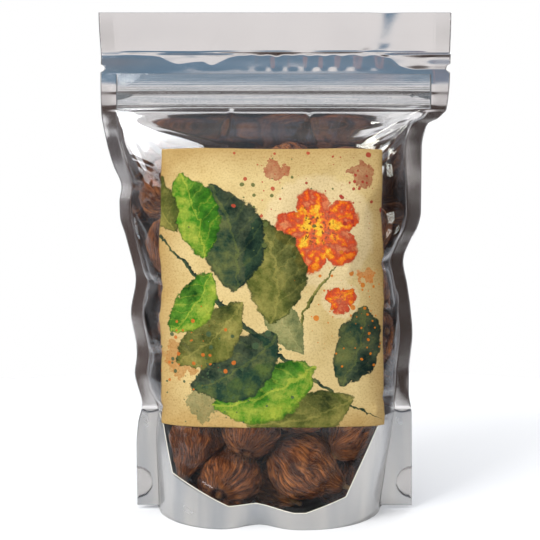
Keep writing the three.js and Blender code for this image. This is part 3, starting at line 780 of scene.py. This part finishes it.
# The label's print on brown paper: brushed leaves, a warm bloom with its bud, splashes and spatter
GREENS = {
    "deep": ((0.004, 0.014, 0.011), (0.016, 0.045, 0.026), (0.085, 0.12, 0.03)),
    "olive": ((0.022, 0.034, 0.008), (0.095, 0.11, 0.02), (0.26, 0.24, 0.055)),
    "bright": ((0.008, 0.05, 0.005), (0.05, 0.2, 0.01), (0.36, 0.42, 0.045)),
    "pale": ((0.09, 0.115, 0.045), (0.19, 0.205, 0.075), (0.34, 0.32, 0.13)),
}
# x and y of the base, turn in degrees, length, half-width, bend, green: two twigs and then the leaves
LEAVES = [
    (121, 2, 139, 172, 1.5, 6.0, "deep"), (74, 44, 62, 50, 1.0, 5.0, "olive"),
    (106, 16, 194, 60, 14.0, 0.3, "olive"), (98, 22, 74, 46, 13.0, -0.3, "deep"),
    (84, 33, 202, 60, 16.0, 0.25, "bright"), (78, 40, 118, 48, 9.0, 0.25, "pale"),
    (64, 50, 212, 56, 16.0, 0.3, "deep"), (61, 55, 98, 58, 17.0, -0.35, "olive"),
    (45, 67, 222, 48, 13.0, 0.3, "olive"), (42, 72, 104, 60, 18.0, -0.3, "deep"),
    (28, 84, 236, 40, 11.0, 0.3, "bright"), (25, 90, 108, 50, 13.0, -0.25, "bright"),
    (9, 105, 118, 42, 10.0, 0.2, "olive")]
VEINED = 3     # half-width from which a leaf shows veins
# x, y, radius, number of petals, turn
BLOOMS = [(86, 106, 24, 5, 0.4), (97, 69, 8, 3, 2.0)]
# x, y, radius, colour
SPLASHES = [
    (24, 14, 10, (0.12, 0.145, 0.055)), (35, 20, 6, (0.1, 0.13, 0.05)), (110, 136, 7, (0.26, 0.022, 0.014)),
    (62, 138, 5.5, (0.30, 0.03, 0.02)), (112, 82, 5, (0.6, 0.15, 0.01)), (10, 36, 9, (0.4, 0.17, 0.04))]
# x, y and reach of a shower of drops, pitch of its drops, colour
SPATTER = [
    (104, 74, 42, 6.0, (0.60, 0.17, 0.012)), (108, 126, 40, 7.5, (0.34, 0.03, 0.02)),
    (30, 24, 44, 6.5, (0.055, 0.095, 0.045)), (58, 140, 34, 5.0, (0.42, 0.06, 0.03)),
    (62, 108, 46, 5.5, (0.10, 0.125, 0.035)), (14, 44, 30, 4.5, (0.5, 0.13, 0.02)),
    (108, 58, 34, 3.4, (0.60, 0.17, 0.012)), (30, 18, 34, 3.2, (0.055, 0.095, 0.045)),
    (104, 130, 30, 3.6, (0.34, 0.03, 0.02))]


def print_leaf(net, base, at, tint, x, y, turn, length, half, bend, green):
    placed = {"Vector": at, "Location": (x, y, 0), "Rotation": (0, 0, math.radians(turn)),
              "Scale": (length, half, 1)}
    u, v, _ = net.value("ShaderNodeMapping", placed, vector_type="TEXTURE").split()
    blade = (u * (1 - u) * 4).greater(0)
    lean = v - blade * bend
    off = abs(lean)
    room = blade ** 0.8 - off
    dark, middle, light = GREENS[green]
    wash = (tint * 0.75 + lean.map(-0.3, 0.3, 0, 0.3)).ramp((0.12, dark), (0.5, middle), (0.95, light))
    wash = net.mix(room.map(0.02, 0.16, 0.75, 0), wash, dark)
    if half > VEINED:
        veins = ((u - off * 0.22) * 44).sine().map(0.88, 1)
        rib = (off < 0.04).greater(veins * 0.5)
        wash = net.mix(rib * tint.map(0.2, 0.8, 0.3, 0.8), wash, light)
    return net.mix(room.map(0, 0.05) * tint.map(0.2, 0.95, 1, 0.9), base, wash)


def print_bloom(net, base, at, tint, x, y, radius, petals, turn):
    """Petals round a yellow heart, wet in wet, on a pale ground."""
    away = at.vector("SUBTRACT", (x, y, 0))
    u, v, _ = away.split()
    distance = away.vector("LENGTH", output="Value")
    angle = net.math("ARCTAN2", v, u) * petals + turn
    reach = abs((angle * 0.5).sine()) ** 0.6 * (0.42 * radius) + 0.6 * radius
    room = 1 - distance / reach
    base = net.mix(distance.map(1.32 * radius, 1.2 * radius, 0, 0.55), base, (0.72, 0.58, 0.34))
    depth = distance * (0.62 / radius) + tint.map(0.2, 0.8, -0.28, 0.42)
    wash = depth.ramp((0, (0.85, 0.5, 0.04)), (0.18, (0.8, 0.26, 0.015)), (0.38, (0.7, 0.075, 0.01)),
                      (0.62, (0.45, 0.028, 0.01)), (0.85, (0.68, 0.14, 0.04)), (1, (0.62, 0.24, 0.09)))
    streaks = (angle * 5).sine().map(0.2, 1, 0, 0.4) * distance.map(0.15 * radius, 0.6 * radius)
    wash = net.mix(streaks, wash, (0.36, 0.03, 0.012))
    wash = net.mix(room.map(0.02, 0.13, 0.6, 0), wash, (0.33, 0.05, 0.02))
    seed, _, _ = at.cells(9 / radius)
    seeds = seed.map(0.2, 0.26, 0.9, 0) * distance.map(0.5 * radius, 0.3 * radius)
    wash = net.mix(seeds, wash, (0.17, 0.018, 0.008))
    return net.mix(room.map(0, 0.05) * tint.map(0.3, 0.95, 1, 0.82), base, wash)


def print_splash(net, base, at, tint, x, y, radius, colour):
    room = 1 - at.vector("DISTANCE", (x, y, 0), "Value") / radius
    wet = room.map(0, 0.1) * room.map(0.03, 0.25, 1, 0.75) * tint.map(0.2, 0.8, 0.95, 0.7)
    return net.mix(wet, base, colour)


def print_spatter(net, base, at, x, y, reach, pitch, colour):
    distance, chance, middle = at.cells(1 / pitch, 0.8)
    pick, size, _ = chance.split()
    share = middle.vector("DISTANCE", (x, y, 0), "Value").map(0, reach, 0.85, 0)
    drop = (size ** 2.4 * 0.24 + 0.04 - distance).map(0, 0.03) * (pick < share)
    return net.mix(drop * 0.9, base, colour)


@as_material
def printed_paper(net):
    """Brown paper, darker at its rim, with the print's edges run a little and fibres showing through."""
    at = net.flat()
    fibre = at.noise(0.9, 5, 0.75)
    cloud = at.noise(0.03, 4, 0.6)
    ink = cloud.ramp((0.3, (0.54, 0.39, 0.155)), (0.5, (0.63, 0.48, 0.215)), (0.75, (0.69, 0.54, 0.26)))
    x, y, _ = at.split()
    width, height = LABEL["right"] - LABEL["left"], LABEL["top"] - LABEL["bottom"]
    rim = x.lesser(width - x).lesser(y.lesser(height - y)) + cloud * 14
    ink = net.mix(rim.map(4, 24, 0.8, 0), ink, (0.36, 0.205, 0.055))
    wobble = at.noise(0.12, 4, 0.65, "Color").vector("SUBTRACT", (0.5, 0.5, 0.5))
    splashed, ragged, dotted = (at.vector("ADD", wobble.vector("MULTIPLY", (run, run, 0)))
                                for run in (20, 9, 1.6))
    tint, blotch, petal = (at.noise(*grain).map(0.3, 0.7)
                           for grain in ((0.085, 6, 0.66), (0.22, 4, 0.6), (0.16, 3, 0.55)))
    for splash in SPLASHES:
        ink = print_splash(net, ink, splashed, blotch, *splash)
    for bloom in BLOOMS:
        ink = print_bloom(net, ink, ragged, petal, *bloom)
    for leaf in LEAVES:
        ink = print_leaf(net, ink, ragged, tint, *leaf)
    for spatter in SPATTER:
        ink = print_spatter(net, ink, dotted, *spatter)
    for share, stain in ((fibre.map(0.48, 0.7, 0, 0.75), (0.58, 0.48, 0.34)),
                         (at.noise(2.2).map(0.66, 0.72, 0, 0.5), (0.4, 0.3, 0.2))):
        ink = net.mix(share, ink, net.mix(1, ink, stain, "MULTIPLY"))
    normal = net.bump(fibre, 0.25, 0.0002)
    return net.surface(ink, fibre.map(0.3, 0.7, 0.55, 0.72), normal, Specular_IOR_Level=0.12)


@as_material
def pale_floor(net):
    """White, and greyer where the object mirrors the part behind it."""
    at = net.object()
    _, y, _ = at.split()
    tone = net.mix(at.noise(3), (0.93, 0.93, 0.93), (0.95, 0.95, 0.95))
    behind = y.map(0.05, 0.5).ramp((0, (0.62, 0.62, 0.63)), (0.35, (0.4, 0.4, 0.41)),
                                   (1, (0.22, 0.22, 0.23)))
    mirrored = net.value("ShaderNodeLightPath", output="Is Glossy Ray") * y.map(0.05, 0.09)
    return net.surface(net.mix(mirrored, tone, behind), 0.9, Specular_IOR_Level=0.1)


# The figs: each keeps its solid's place and outline, and gets ribs, folds, an eye and a stem end
SHOWN_WELL = range(1, 10)
# Points round and along a fig: where it is seen closest, behind the clear film, and elsewhere
FINEST, FINE, COARSE = (240, 132), (120, 72), (64, 40)
BEHIND = 2            # y from which a fig is coarse
GOLDEN_ANGLE, GOLDEN_SHARE = math.pi * (3 - math.sqrt(5)), 0.618034
# Which way the stem end points on the figs that show well
STEMS = {1: (-0.35, -0.25, -0.9), 2: (0.3, 0.85, 0.35), 3: (0.15, 0.6, 0.8), 4: (0.82, -0.1, -0.42),
         5: (-0.55, -0.45, -0.65), 6: (0.55, -0.75, -0.3), 7: (-0.4, 0.5, 0.75), 8: (-0.5, 0.8, -0.3),
         9: (-0.6, 0.7, 0.3)}
# Length of the stalk and the way it bends, where it shows or would touch a film
STALKS = {4: (5.0, (0.2, -0.5, 0.3)), 5: (7.5, (0.9, -0.5, 0.9)), 6: (4.5, (0.6, -0.2, 0.2)),
          1: (3.5, (-0.4, -0.3, 0.3)), 3: (4.0, (0.5, -0.3, 0.1)), 9: (5.0, (-0.5, 0.2, 0.6)),
          29: (0.6, (0.3, 0.2, 0.3)), 45: (0.6, (0.3, 0.2, 0.3)), 51: (0.6, (0.3, -0.2, -0.3))}
PLAIN_STALK = (2.6, (0.3, -0.2, 0.3))
STALK_ROOT = 1.2      # how far a stalk starts inside its fig


def stem_axis(number):
    if number in STEMS:
        axis = np.array(STEMS[number])
    else:
        up = 2 * (((number - 1) * GOLDEN_SHARE) % 1) - 1
        flat, turn = math.sqrt(1 - up * up), (number - 1) * GOLDEN_ANGLE
        axis = np.array([flat * math.cos(turn), flat * math.sin(turn), up])
    return axis / np.linalg.norm(axis)


def fig_reach(tree, centre, direction):
    """How far a solid's surface is from its middle each way, with its flat faces smoothed out."""
    start = Vector(centre)
    plain_reach = 16.0
    reach = np.array([[tree.ray_cast(start, Vector(d))[3] or plain_reach for d in ring]
                      for ring in direction])
    for _ in range(12):
        reach = (np.roll(reach, 1, 1) + 2 * reach + np.roll(reach, -1, 1)) / 4
        reach[1:-1] = (reach[:-2] + 2 * reach[1:-1] + reach[2:]) / 4
        reach[0], reach[-1] = reach[1].mean(), reach[-2].mean()
    return reach


def fig_part(number, node, centre, turns, rings):
    """A fig's skin. Its points have their relief, stem share and grain as further columns."""
    solid = node.data
    tree = BVHTree.FromPolygons([v.co / MM for v in solid.vertices], [f.vertices for f in solid.polygons])
    axis = stem_axis(number)
    side = np.cross((0, 0, 1), axis)
    side /= np.linalg.norm(side)
    other = np.cross(axis, side)
    polar = np.linspace(0, math.pi, rings + 1)[:, None]
    turn = np.linspace(0, 2 * math.pi, turns, endpoint=False)[None, :]
    direction = (np.cos(polar)[..., None] * axis + (np.sin(polar) * np.cos(turn))[..., None] * side
                 + (np.sin(polar) * np.sin(turn))[..., None] * other)
    reach = fig_reach(tree, centre, direction)
    # Ribs run from the stem to the eye. They wander, fork and meet
    wander = turn + 0.3 * np.sin(polar * 1.3 + number) + 0.16 * noise(direction * 2.2 + number, 60)
    ribs = 0
    for pitch, weight in ((3.4, 0.42), (7.5, 0.36), (14.0, 0.3)):
        ring = stacked(np.cos(wander) * pitch, np.sin(wander) * pitch, polar * 0.16 * pitch + number * 3.7)
        ribs = ribs + weight * np.abs(noise(ring, number)) ** 0.6 * 1.5
    ribs = np.clip(ribs, 0, 1)
    folds = ridged(direction * 2.3 + number * 2.1, 3, 40 + number)
    crinkle = ridged(direction * 8.0 + number, 2, 80 + number)
    lumps = np.abs(noise(direction * 1.7 + number * 5.3, 21))
    waist = np.sin(polar) ** 0.4
    depth = 1.7 * (1 - ribs) * waist + 1.2 * (1 - folds) ** 2 + 0.35 * (1 - crinkle) + 0.7 * lumps
    end = math.pi - polar
    eye = 1.3 * hump(end, 0.2, 0.085) - 0.6 * hump(end, 0, 0.1)
    neck = 1.3 * hump(polar, 0, 0.2) - 0.5 * hump(polar, 0.42, 0.12)
    points = np.asarray(centre) + direction * (reach + 0.7 - depth - eye + neck)[..., None]
    # High on the ribs and low in the folds; the skin's material paints shade and highlight from it
    relief = np.clip(1.2 - depth / 2.2 - 0.45 * np.clip(eye, 0, None), 0, 1)
    stem = np.clip(hump(polar, 0, 0.15) + 0.7 * hump(end, 0, 0.07), 0, 1) + 0 * turn
    grain = stacked(np.cos(wander) * 9, np.sin(wander) * 9, polar * 1.7 + number * 3.7)
    return ball_part(np.concatenate([points, relief[..., None], stem[..., None], grain], axis=-1))


def stalk_part(number, skin):
    """The dried stalk left on a fig's stem end, a bent and tapered twig."""
    axis = stem_axis(number)
    base = skin[0, :3] - STALK_ROOT * axis
    length, bend = STALKS.get(number, PLAIN_STALK)
    bend = np.array(bend, float)
    side = np.cross(axis, bend)
    side /= np.linalg.norm(side)
    rings = []
    for t in np.linspace(0, 1, 14):
        middle = base + axis * (length + STALK_ROOT) * t + bend * length * 0.5 * t * t
        ahead = axis * (length + STALK_ROOT) + bend * length * t
        ahead /= np.linalg.norm(ahead)
        other = np.cross(ahead, side)
        angles = np.linspace(0, 2 * math.pi, 14, endpoint=False)
        radius = (2.1 - 1.1 * t ** 0.5 + 0.25 * t ** 4) * (1 + 0.14 * np.cos(5 * angles + 3 * t))
        around = np.cos(angles)[:, None] * side + np.sin(angles)[:, None] * other
        rings.append(middle + radius[:, None] * around)
    return tube_part(np.array(rings))


fig_names = sorted(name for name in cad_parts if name.startswith("fig_"))
skin_points, skin_faces = [], []
for number, name in enumerate(fig_names, 1):
    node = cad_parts[name]
    corners = np.array([v.co for v in node.data.vertices]) / MM
    centre = (corners.min(0) + corners.max(0)) / 2
    fineness = FINEST if number in SHOWN_WELL else FINE if centre[1] < BEHIND else COARSE
    data, faces = fig_part(number, node, centre, *fineness)
    stalk, stalk_faces = stalk_part(number, data)
    mesh = make_mesh("dried_" + name, [(data[:, :3], faces), (stalk, stalk_faces)])
    # The stalk's own relief, stem share and grain
    more = np.tile([0.9, 1.0, 0, 0, 0], (len(stalk), 1))
    more[:, 2:] = stalk * (3, 3, 0.6)
    values = np.concatenate([data[:, 3:], more]).astype(np.float32)
    for attribute, column in (("relief", 0), ("stem", 1)):
        mesh.attributes.new(attribute, "FLOAT", "POINT").data.foreach_set("value", values[:, column])
    mesh.attributes.new("grain", "FLOAT_VECTOR", "POINT").data.foreach_set("vector", values[:, 2:].ravel())
    add_piece(mesh, fig_skin, [name])
    for points, shells in ((data[:, :3], faces), (stalk, stalk_faces)):
        skin_faces += [[len(skin_points) + v for v in face] for face in shells]
        skin_points += points.tolist()
fig_tree = BVHTree.FromPolygons(skin_points, skin_faces)


# Front and back webs
webs = {}
for web, look, slot in (("front", clear_film, "clear_film"), ("back", silver_film, "silver_film")):
    p, x, z = webs[web] = finished_web(web)
    part = sheet_part(p, FILM, flat_film(z[:, 0]))
    add_piece(make_mesh(web + "_film", [part]), look, [web + "_web"])

# The gusset: skirts inside the webs, a folded floor, and flat folded ends in the legs
GUSSET_COLUMNS = 150
SKIRT_ROWS, FLOOR_ROWS = 16, 48
GAP = 0.3             # between the gusset's film and the webs or their edges


def gusset_boat():
    """The skirts and the floor as one grid of points, and where these lie on the flat film."""
    turn = np.linspace(-1, 1, GUSSET_COLUMNS + 1)
    spread_out = 0.55 * np.sin(turn * math.pi / 2) + 0.45 * turn
    columns = []
    for s in spread_out:
        def across_at(z):
            l0, r0 = float(left_seam(z)), float(right_seam(z))
            return np.clip((l0 + r0) / 2 + (r0 - l0) / 2 * s, l0 + 0.05, r0 - 0.05)

        def inside(web, z):
            at = on_web(web, across_at(z), z)
            at[1] -= SIDE[web] * (FILM + GAP)
            return at

        # The skirt's top at this column, found by going to and fro
        top = 20.0
        for _ in range(30):
            top += 0.5 * (float(seal_top(across_at(top))) - top)
        heights = np.linspace(0, top, SKIRT_ROWS + 1)
        front = [inside("front", z) for z in heights]
        back = [inside("back", z) for z in heights]
        middle = min(top, 0.2 + (GUSSET_HEIGHT - 0.2) * max(0.0, (abs(s) - 0.55) / 0.45) ** 3)
        floor = []
        for k in range(1, FLOOR_ROWS):
            share = 0.5 - 0.5 * math.cos(math.pi * k / FLOOR_ROWS)
            at = front[-1] * (1 - share) + back[-1] * share
            fold = 0.5 * math.exp(-((share - 0.5) / 0.012) ** 2) * min(1.0, max(0.0, 1.6 - 2 * abs(s)))
            at[2] = middle + fold + (top - middle) * max(0.0, (abs(2 * share - 1) - 0.4) / 0.6) ** 2.2
            floor.append(at)
        columns.append(front + floor + back[::-1])
    p = np.array(columns).transpose(1, 0, 2)
    across = np.broadcast_to(40 + 120 * np.linspace(0, 1, p.shape[1])[None, :], p.shape[:2])
    down = np.broadcast_to(np.linspace(0, 110, p.shape[0])[:, None], p.shape[:2])
    return p, np.stack([across, down], axis=-1)


def gusset_end(side):
    """One flat folded end of the gusset, between the webs in a leg, with its half-round hole at the edge."""
    z = np.linspace(LEG_LIFT + GAP, GUSSET_HEIGHT - 0.4, 90)[:, None]
    t = np.linspace(0, 1, 28)[None, :]
    edge, seam = (LEFT_EDGE(z) + GAP, left_seam(z)) if side < 0 else (RIGHT_EDGE(z) - GAP, right_seam(z))
    x = edge + (seam - edge) * t
    top = 1.2 * np.sin(math.pi * t) * rise(z, 40, 16)
    p = np.stack([x, HEADER_SET(z) + 0 * x, z - top], axis=-1)
    middle = (p[1:, 1:] + p[:-1, :-1]) / 2
    hole = np.hypot(middle[..., 0] - np.where(side < 0, LEFT_EDGE(PUNCH_Z), RIGHT_EDGE(PUNCH_Z)),
                    middle[..., 2] - PUNCH_Z) < PUNCH_RADIUS
    flat = np.stack([100 + x * 0.5, 0 * x + z], axis=-1)
    return sheet_part(p, 2 * LEG_SPACE - 0.25, flat, ~hole)


boat, boat_flat = gusset_boat()
gusset_parts = [sheet_part(boat, FILM, boat_flat), gusset_end(-1), gusset_end(1)]
add_piece(make_mesh("gusset_film", gusset_parts), satin_film, ["bottom_gusset"])

# The line where the gusset's film ends under the front web, as a thin round bead. The bead is real; its
# near-white colour is a painted highlight along that edge.
BEAD_RADIUS, BEAD_DEPTH, BEAD_POINTS = 0.26, 0.32, 300
line = []
corners = np.array(SEAL_CORNERS)
along = np.concatenate([[0], np.cumsum(np.hypot(*np.diff(corners, axis=0).T))])
for t in np.linspace(0.5, along[-1] - 0.5, BEAD_POINTS):
    x, z = (float(np.interp(t, along, column)) for column in corners.T)
    at = on_web("front", x, z)
    at[1] += FILM / 2 + BEAD_DEPTH
    slope = float(seal_top(x + 0.3) - seal_top(x - 0.3)) / 0.6
    across = np.array([-slope, 0, 1]) / math.hypot(1, slope)
    turn = np.linspace(0, 2 * math.pi, 8, endpoint=False)[:, None]
    line.append(at + BEAD_RADIUS * (np.cos(turn) * across + np.sin(turn) * np.array([0, 1, 0])))
add_piece(make_mesh("seal_line", [tube_part(np.array(line))]), seal_bead_with_painted_highlight, [])

# The zipper's two tracks, as (distance inwards from the film, z). They are squeezed flat at their ends
FRONT_TRACK = [
    (0, -10), (0.5, -10), (0.5, -0.6), (2.0, -0.6), (2.0, -1.1), (2.7, -0.3), (2.7, 0.3), (2.0, 1.1),
    (2.0, 0.6), (0.5, 0.6), (0.5, 9.4), (0, 9.4)]
# Points close together on the side that lies on the film, so that the front track follows it
FRONT_TRACK += [(0, dz) for dz in np.arange(9.0, -10, -0.5)]
BACK_TRACK = [
    (0, -9), (0.5, -9), (0.5, -1.95), (2.7, -1.95), (2.7, -0.75), (2.45, -0.75), (2.35, -1.3), (0.9, -1.3),
    (0.9, 1.3), (2.35, 1.3), (2.45, 0.75), (2.7, 0.75), (2.7, 1.95), (0.5, 1.95), (0.5, 7), (0, 7)]
TRACK_COLUMNS = 150
TRACK_DEPTH = 2.4     # space that a track needs to keep its full depth
for web, profile in (("front", FRONT_TRACK), ("back", BACK_TRACK)):
    ends = float(left_seam(ZIP_Z)) + 0.4, float(right_seam(ZIP_Z)) - 0.4
    rings = []
    for x in np.linspace(*ends, TRACK_COLUMNS):
        room = abs(on_web(web, x, ZIP_Z)[1] - float(HEADER_SET(ZIP_Z)))
        squeeze = float(np.clip((room - 0.15) / TRACK_DEPTH, 0.03, 1))
        ring = []
        for inwards, dz in profile:
            at = on_web(web, x, ZIP_Z + dz)
            at[1] -= SIDE[web] * (FILM / 2 + 0.04 + inwards * squeeze)
            ring.append(at)
        rings.append(ring[::-1] if web == "front" else ring)
    track = make_mesh("zip_track_" + web, [tube_part(np.array(rings))], soft=web == "front")
    add_piece(track, zip_plastic, ["zip_" + web])


# The paper label, stuck on the front web
LABEL_COLUMNS, LABEL_ROWS = 150, 186
PAPER, GLUE = 0.12, 0.05
xs = np.linspace(LABEL["left"], LABEL["right"], LABEL_COLUMNS + 1)
zs = np.linspace(LABEL["bottom"], LABEL["top"], LABEL_ROWS + 1)
BOTTOM_RISE = 2.2     # the lower edge bows up in the middle
share = (zs - zs[0]) / (zs[-1] - zs[0])
HALF_WIDTH = 61
bow = BOTTOM_RISE * (1 - (xs / HALF_WIDTH) ** 2)
sheet = np.array([[on_web("front", x, z + up * (1 - t) ** 2) for x, up in zip(xs, bow)]
                  for z, t in zip(zs, share)])
sheet += grid_normals(sheet, SIDE["front"]) * ((FILM + PAPER) / 2 + GLUE)
label_flat = np.stack(np.meshgrid(xs - xs[0], zs - zs[0]), axis=-1)
label_mesh = make_mesh("label_sheet", [sheet_part(sheet, PAPER, label_flat)])
add_piece(label_mesh, printed_paper, ["paper_label"])


# Floor, studio light and camera
bpy.ops.mesh.primitive_circle_add(vertices=96, radius=0.62, fill_type="NGON")
floor = bpy.context.object
floor.name = "floor"
floor.data.materials.append(pale_floor)

# The room's colours from straight down, 0, to straight up, 1: at its ends, at its sides and between these
ENDS = [(0, (0.16, 0.16, 0.16)), (0.47, (0.076, 0.05, 0.044)), (0.545, (0.076, 0.05, 0.044)),
        (0.575, (0.93, 0.9, 0.905)), (0.652, (0.93, 0.9, 0.905)), (0.685, (0.14, 0.25, 0.37)),
        (0.80, (0.17, 0.25, 0.34)), (0.9, (0.2, 0.24, 0.3)), (1, (0.3, 0.34, 0.42))]
SIDES = [(0, (0.1, 0.1, 0.1)), (0.5, (0.1, 0.083, 0.085)), (0.62, (0.18, 0.17, 0.18)), (1, (0.2, 0.2, 0.2))]
BETWEEN = [(0, (0.2, 0.2, 0.2)), (0.46, (0.5, 0.5, 0.52)), (0.55, (0.6, 0.6, 0.62)),
           (0.66, (0.6, 0.62, 0.66)), (0.8, (0.28, 0.29, 0.33)), (1, (0.2, 0.2, 0.2))]


def studio_sky(net):
    """A room with a bright band before and behind the object, blue-grey above it and dim sides."""
    dx, dy, dz = net.value("ShaderNodeTexCoord", output="Generated").split()
    level = dz.map(-1, 1)
    azimuth = net.math("ARCTAN2", abs(dx), abs(dy))
    ends = level.ramp(*ENDS)
    dark_right = dx.map(-0.1, 0.3) * (level.map(0.56, 0.545) * 0.75)
    ends = net.mix(dark_right, ends, (0.02, 0.012, 0.008))
    lilac = abs(azimuth - 0.2).map(0.01, 0.07, 0.8, 0) * (level.map(0.66, 0.7) * dx.map(0, 0.05))
    ends = net.mix(lilac, ends, (0.42, 0.3, 0.32))
    around = net.mix(azimuth.map(0.75, 0.9), level.ramp(*BETWEEN), level.ramp(*SIDES))
    around = net.mix(azimuth.map(0.55, 0.66), ends, around)
    seen = net.value("ShaderNodeLightPath", output="Is Camera Ray")
    return net.value("ShaderNodeBackground", {"Color": net.mix(seen, around, (1, 1, 1))})


world = bpy.data.worlds.new("studio")
bpy.context.scene.world = world
world.use_nodes = True
world.node_tree.nodes.clear()
sky_out = world.node_tree.nodes.new("ShaderNodeOutputWorld")
world.node_tree.links.new(studio_sky(Net(world.node_tree)).socket, sky_out.inputs[0])


def place_and_aim(thing, place, aim):
    bpy.context.scene.collection.objects.link(thing)
    thing.location = place
    thing.rotation_mode = "QUATERNION"
    thing.rotation_quaternion = (Vector(aim) - Vector(place)).to_track_quat("-Z", "Y")


def lamp(name, kind, place, aim, power, **settings):
    light = bpy.data.lights.new(name, kind)
    light.energy = power
    for setting, value in settings.items():
        setattr(light, setting, value)
    holder = bpy.data.objects.new(name, light)
    place_and_aim(holder, place, aim)
    return holder


def soft_box(name, place, power, size, **settings):
    settings.update(shape="RECTANGLE", size=size, size_y=size)
    return lamp(name, "AREA", place, (0, 0, 0.14), power, **settings)


overhead = lamp("overhead", "SUN", (-0.2, -0.6, 1.3), (0, 0, 0), 2.1, angle=math.radians(80))
overhead.visible_glossy = False
key = soft_box("key", (-0.80, -0.92, 0.78), 11, 0.5)
key.visible_glossy = False
soft_box("back_box", (0.7, 1.1, 0.8), 5, 0.5)
# Two boxes that only the clear film mirrors
on_clear_film = bpy.data.collections.new("on clear film")
on_clear_film.objects.link(bpy.data.objects["front_film"])
for shine in (soft_box("left_shine", (-0.78, -0.90, 0.764), 22, 0.8, color=(0.98, 0.99, 1.0)),
              soft_box("right_shine", (0.87, -0.86, 0.88), 10, 0.5, color=(1.0, 0.98, 0.86))):
    shine.visible_diffuse = False
    shine.light_linking.receiver_collection = on_clear_film

camera_data = bpy.data.cameras.new("camera")
camera_data.lens = 63.5
camera_data.sensor_width = 36
camera = bpy.data.objects.new("camera", camera_data)
DISTANCE, PITCH, AIM = 0.540, math.radians(1.2), Vector((-0.0028, 0, 0.136))
place_and_aim(camera, AIM + DISTANCE * Vector((0, -math.cos(PITCH), math.sin(PITCH))), AIM)
bpy.context.scene.camera = camera
bpy.context.scene.view_settings.view_transform = "Standard"
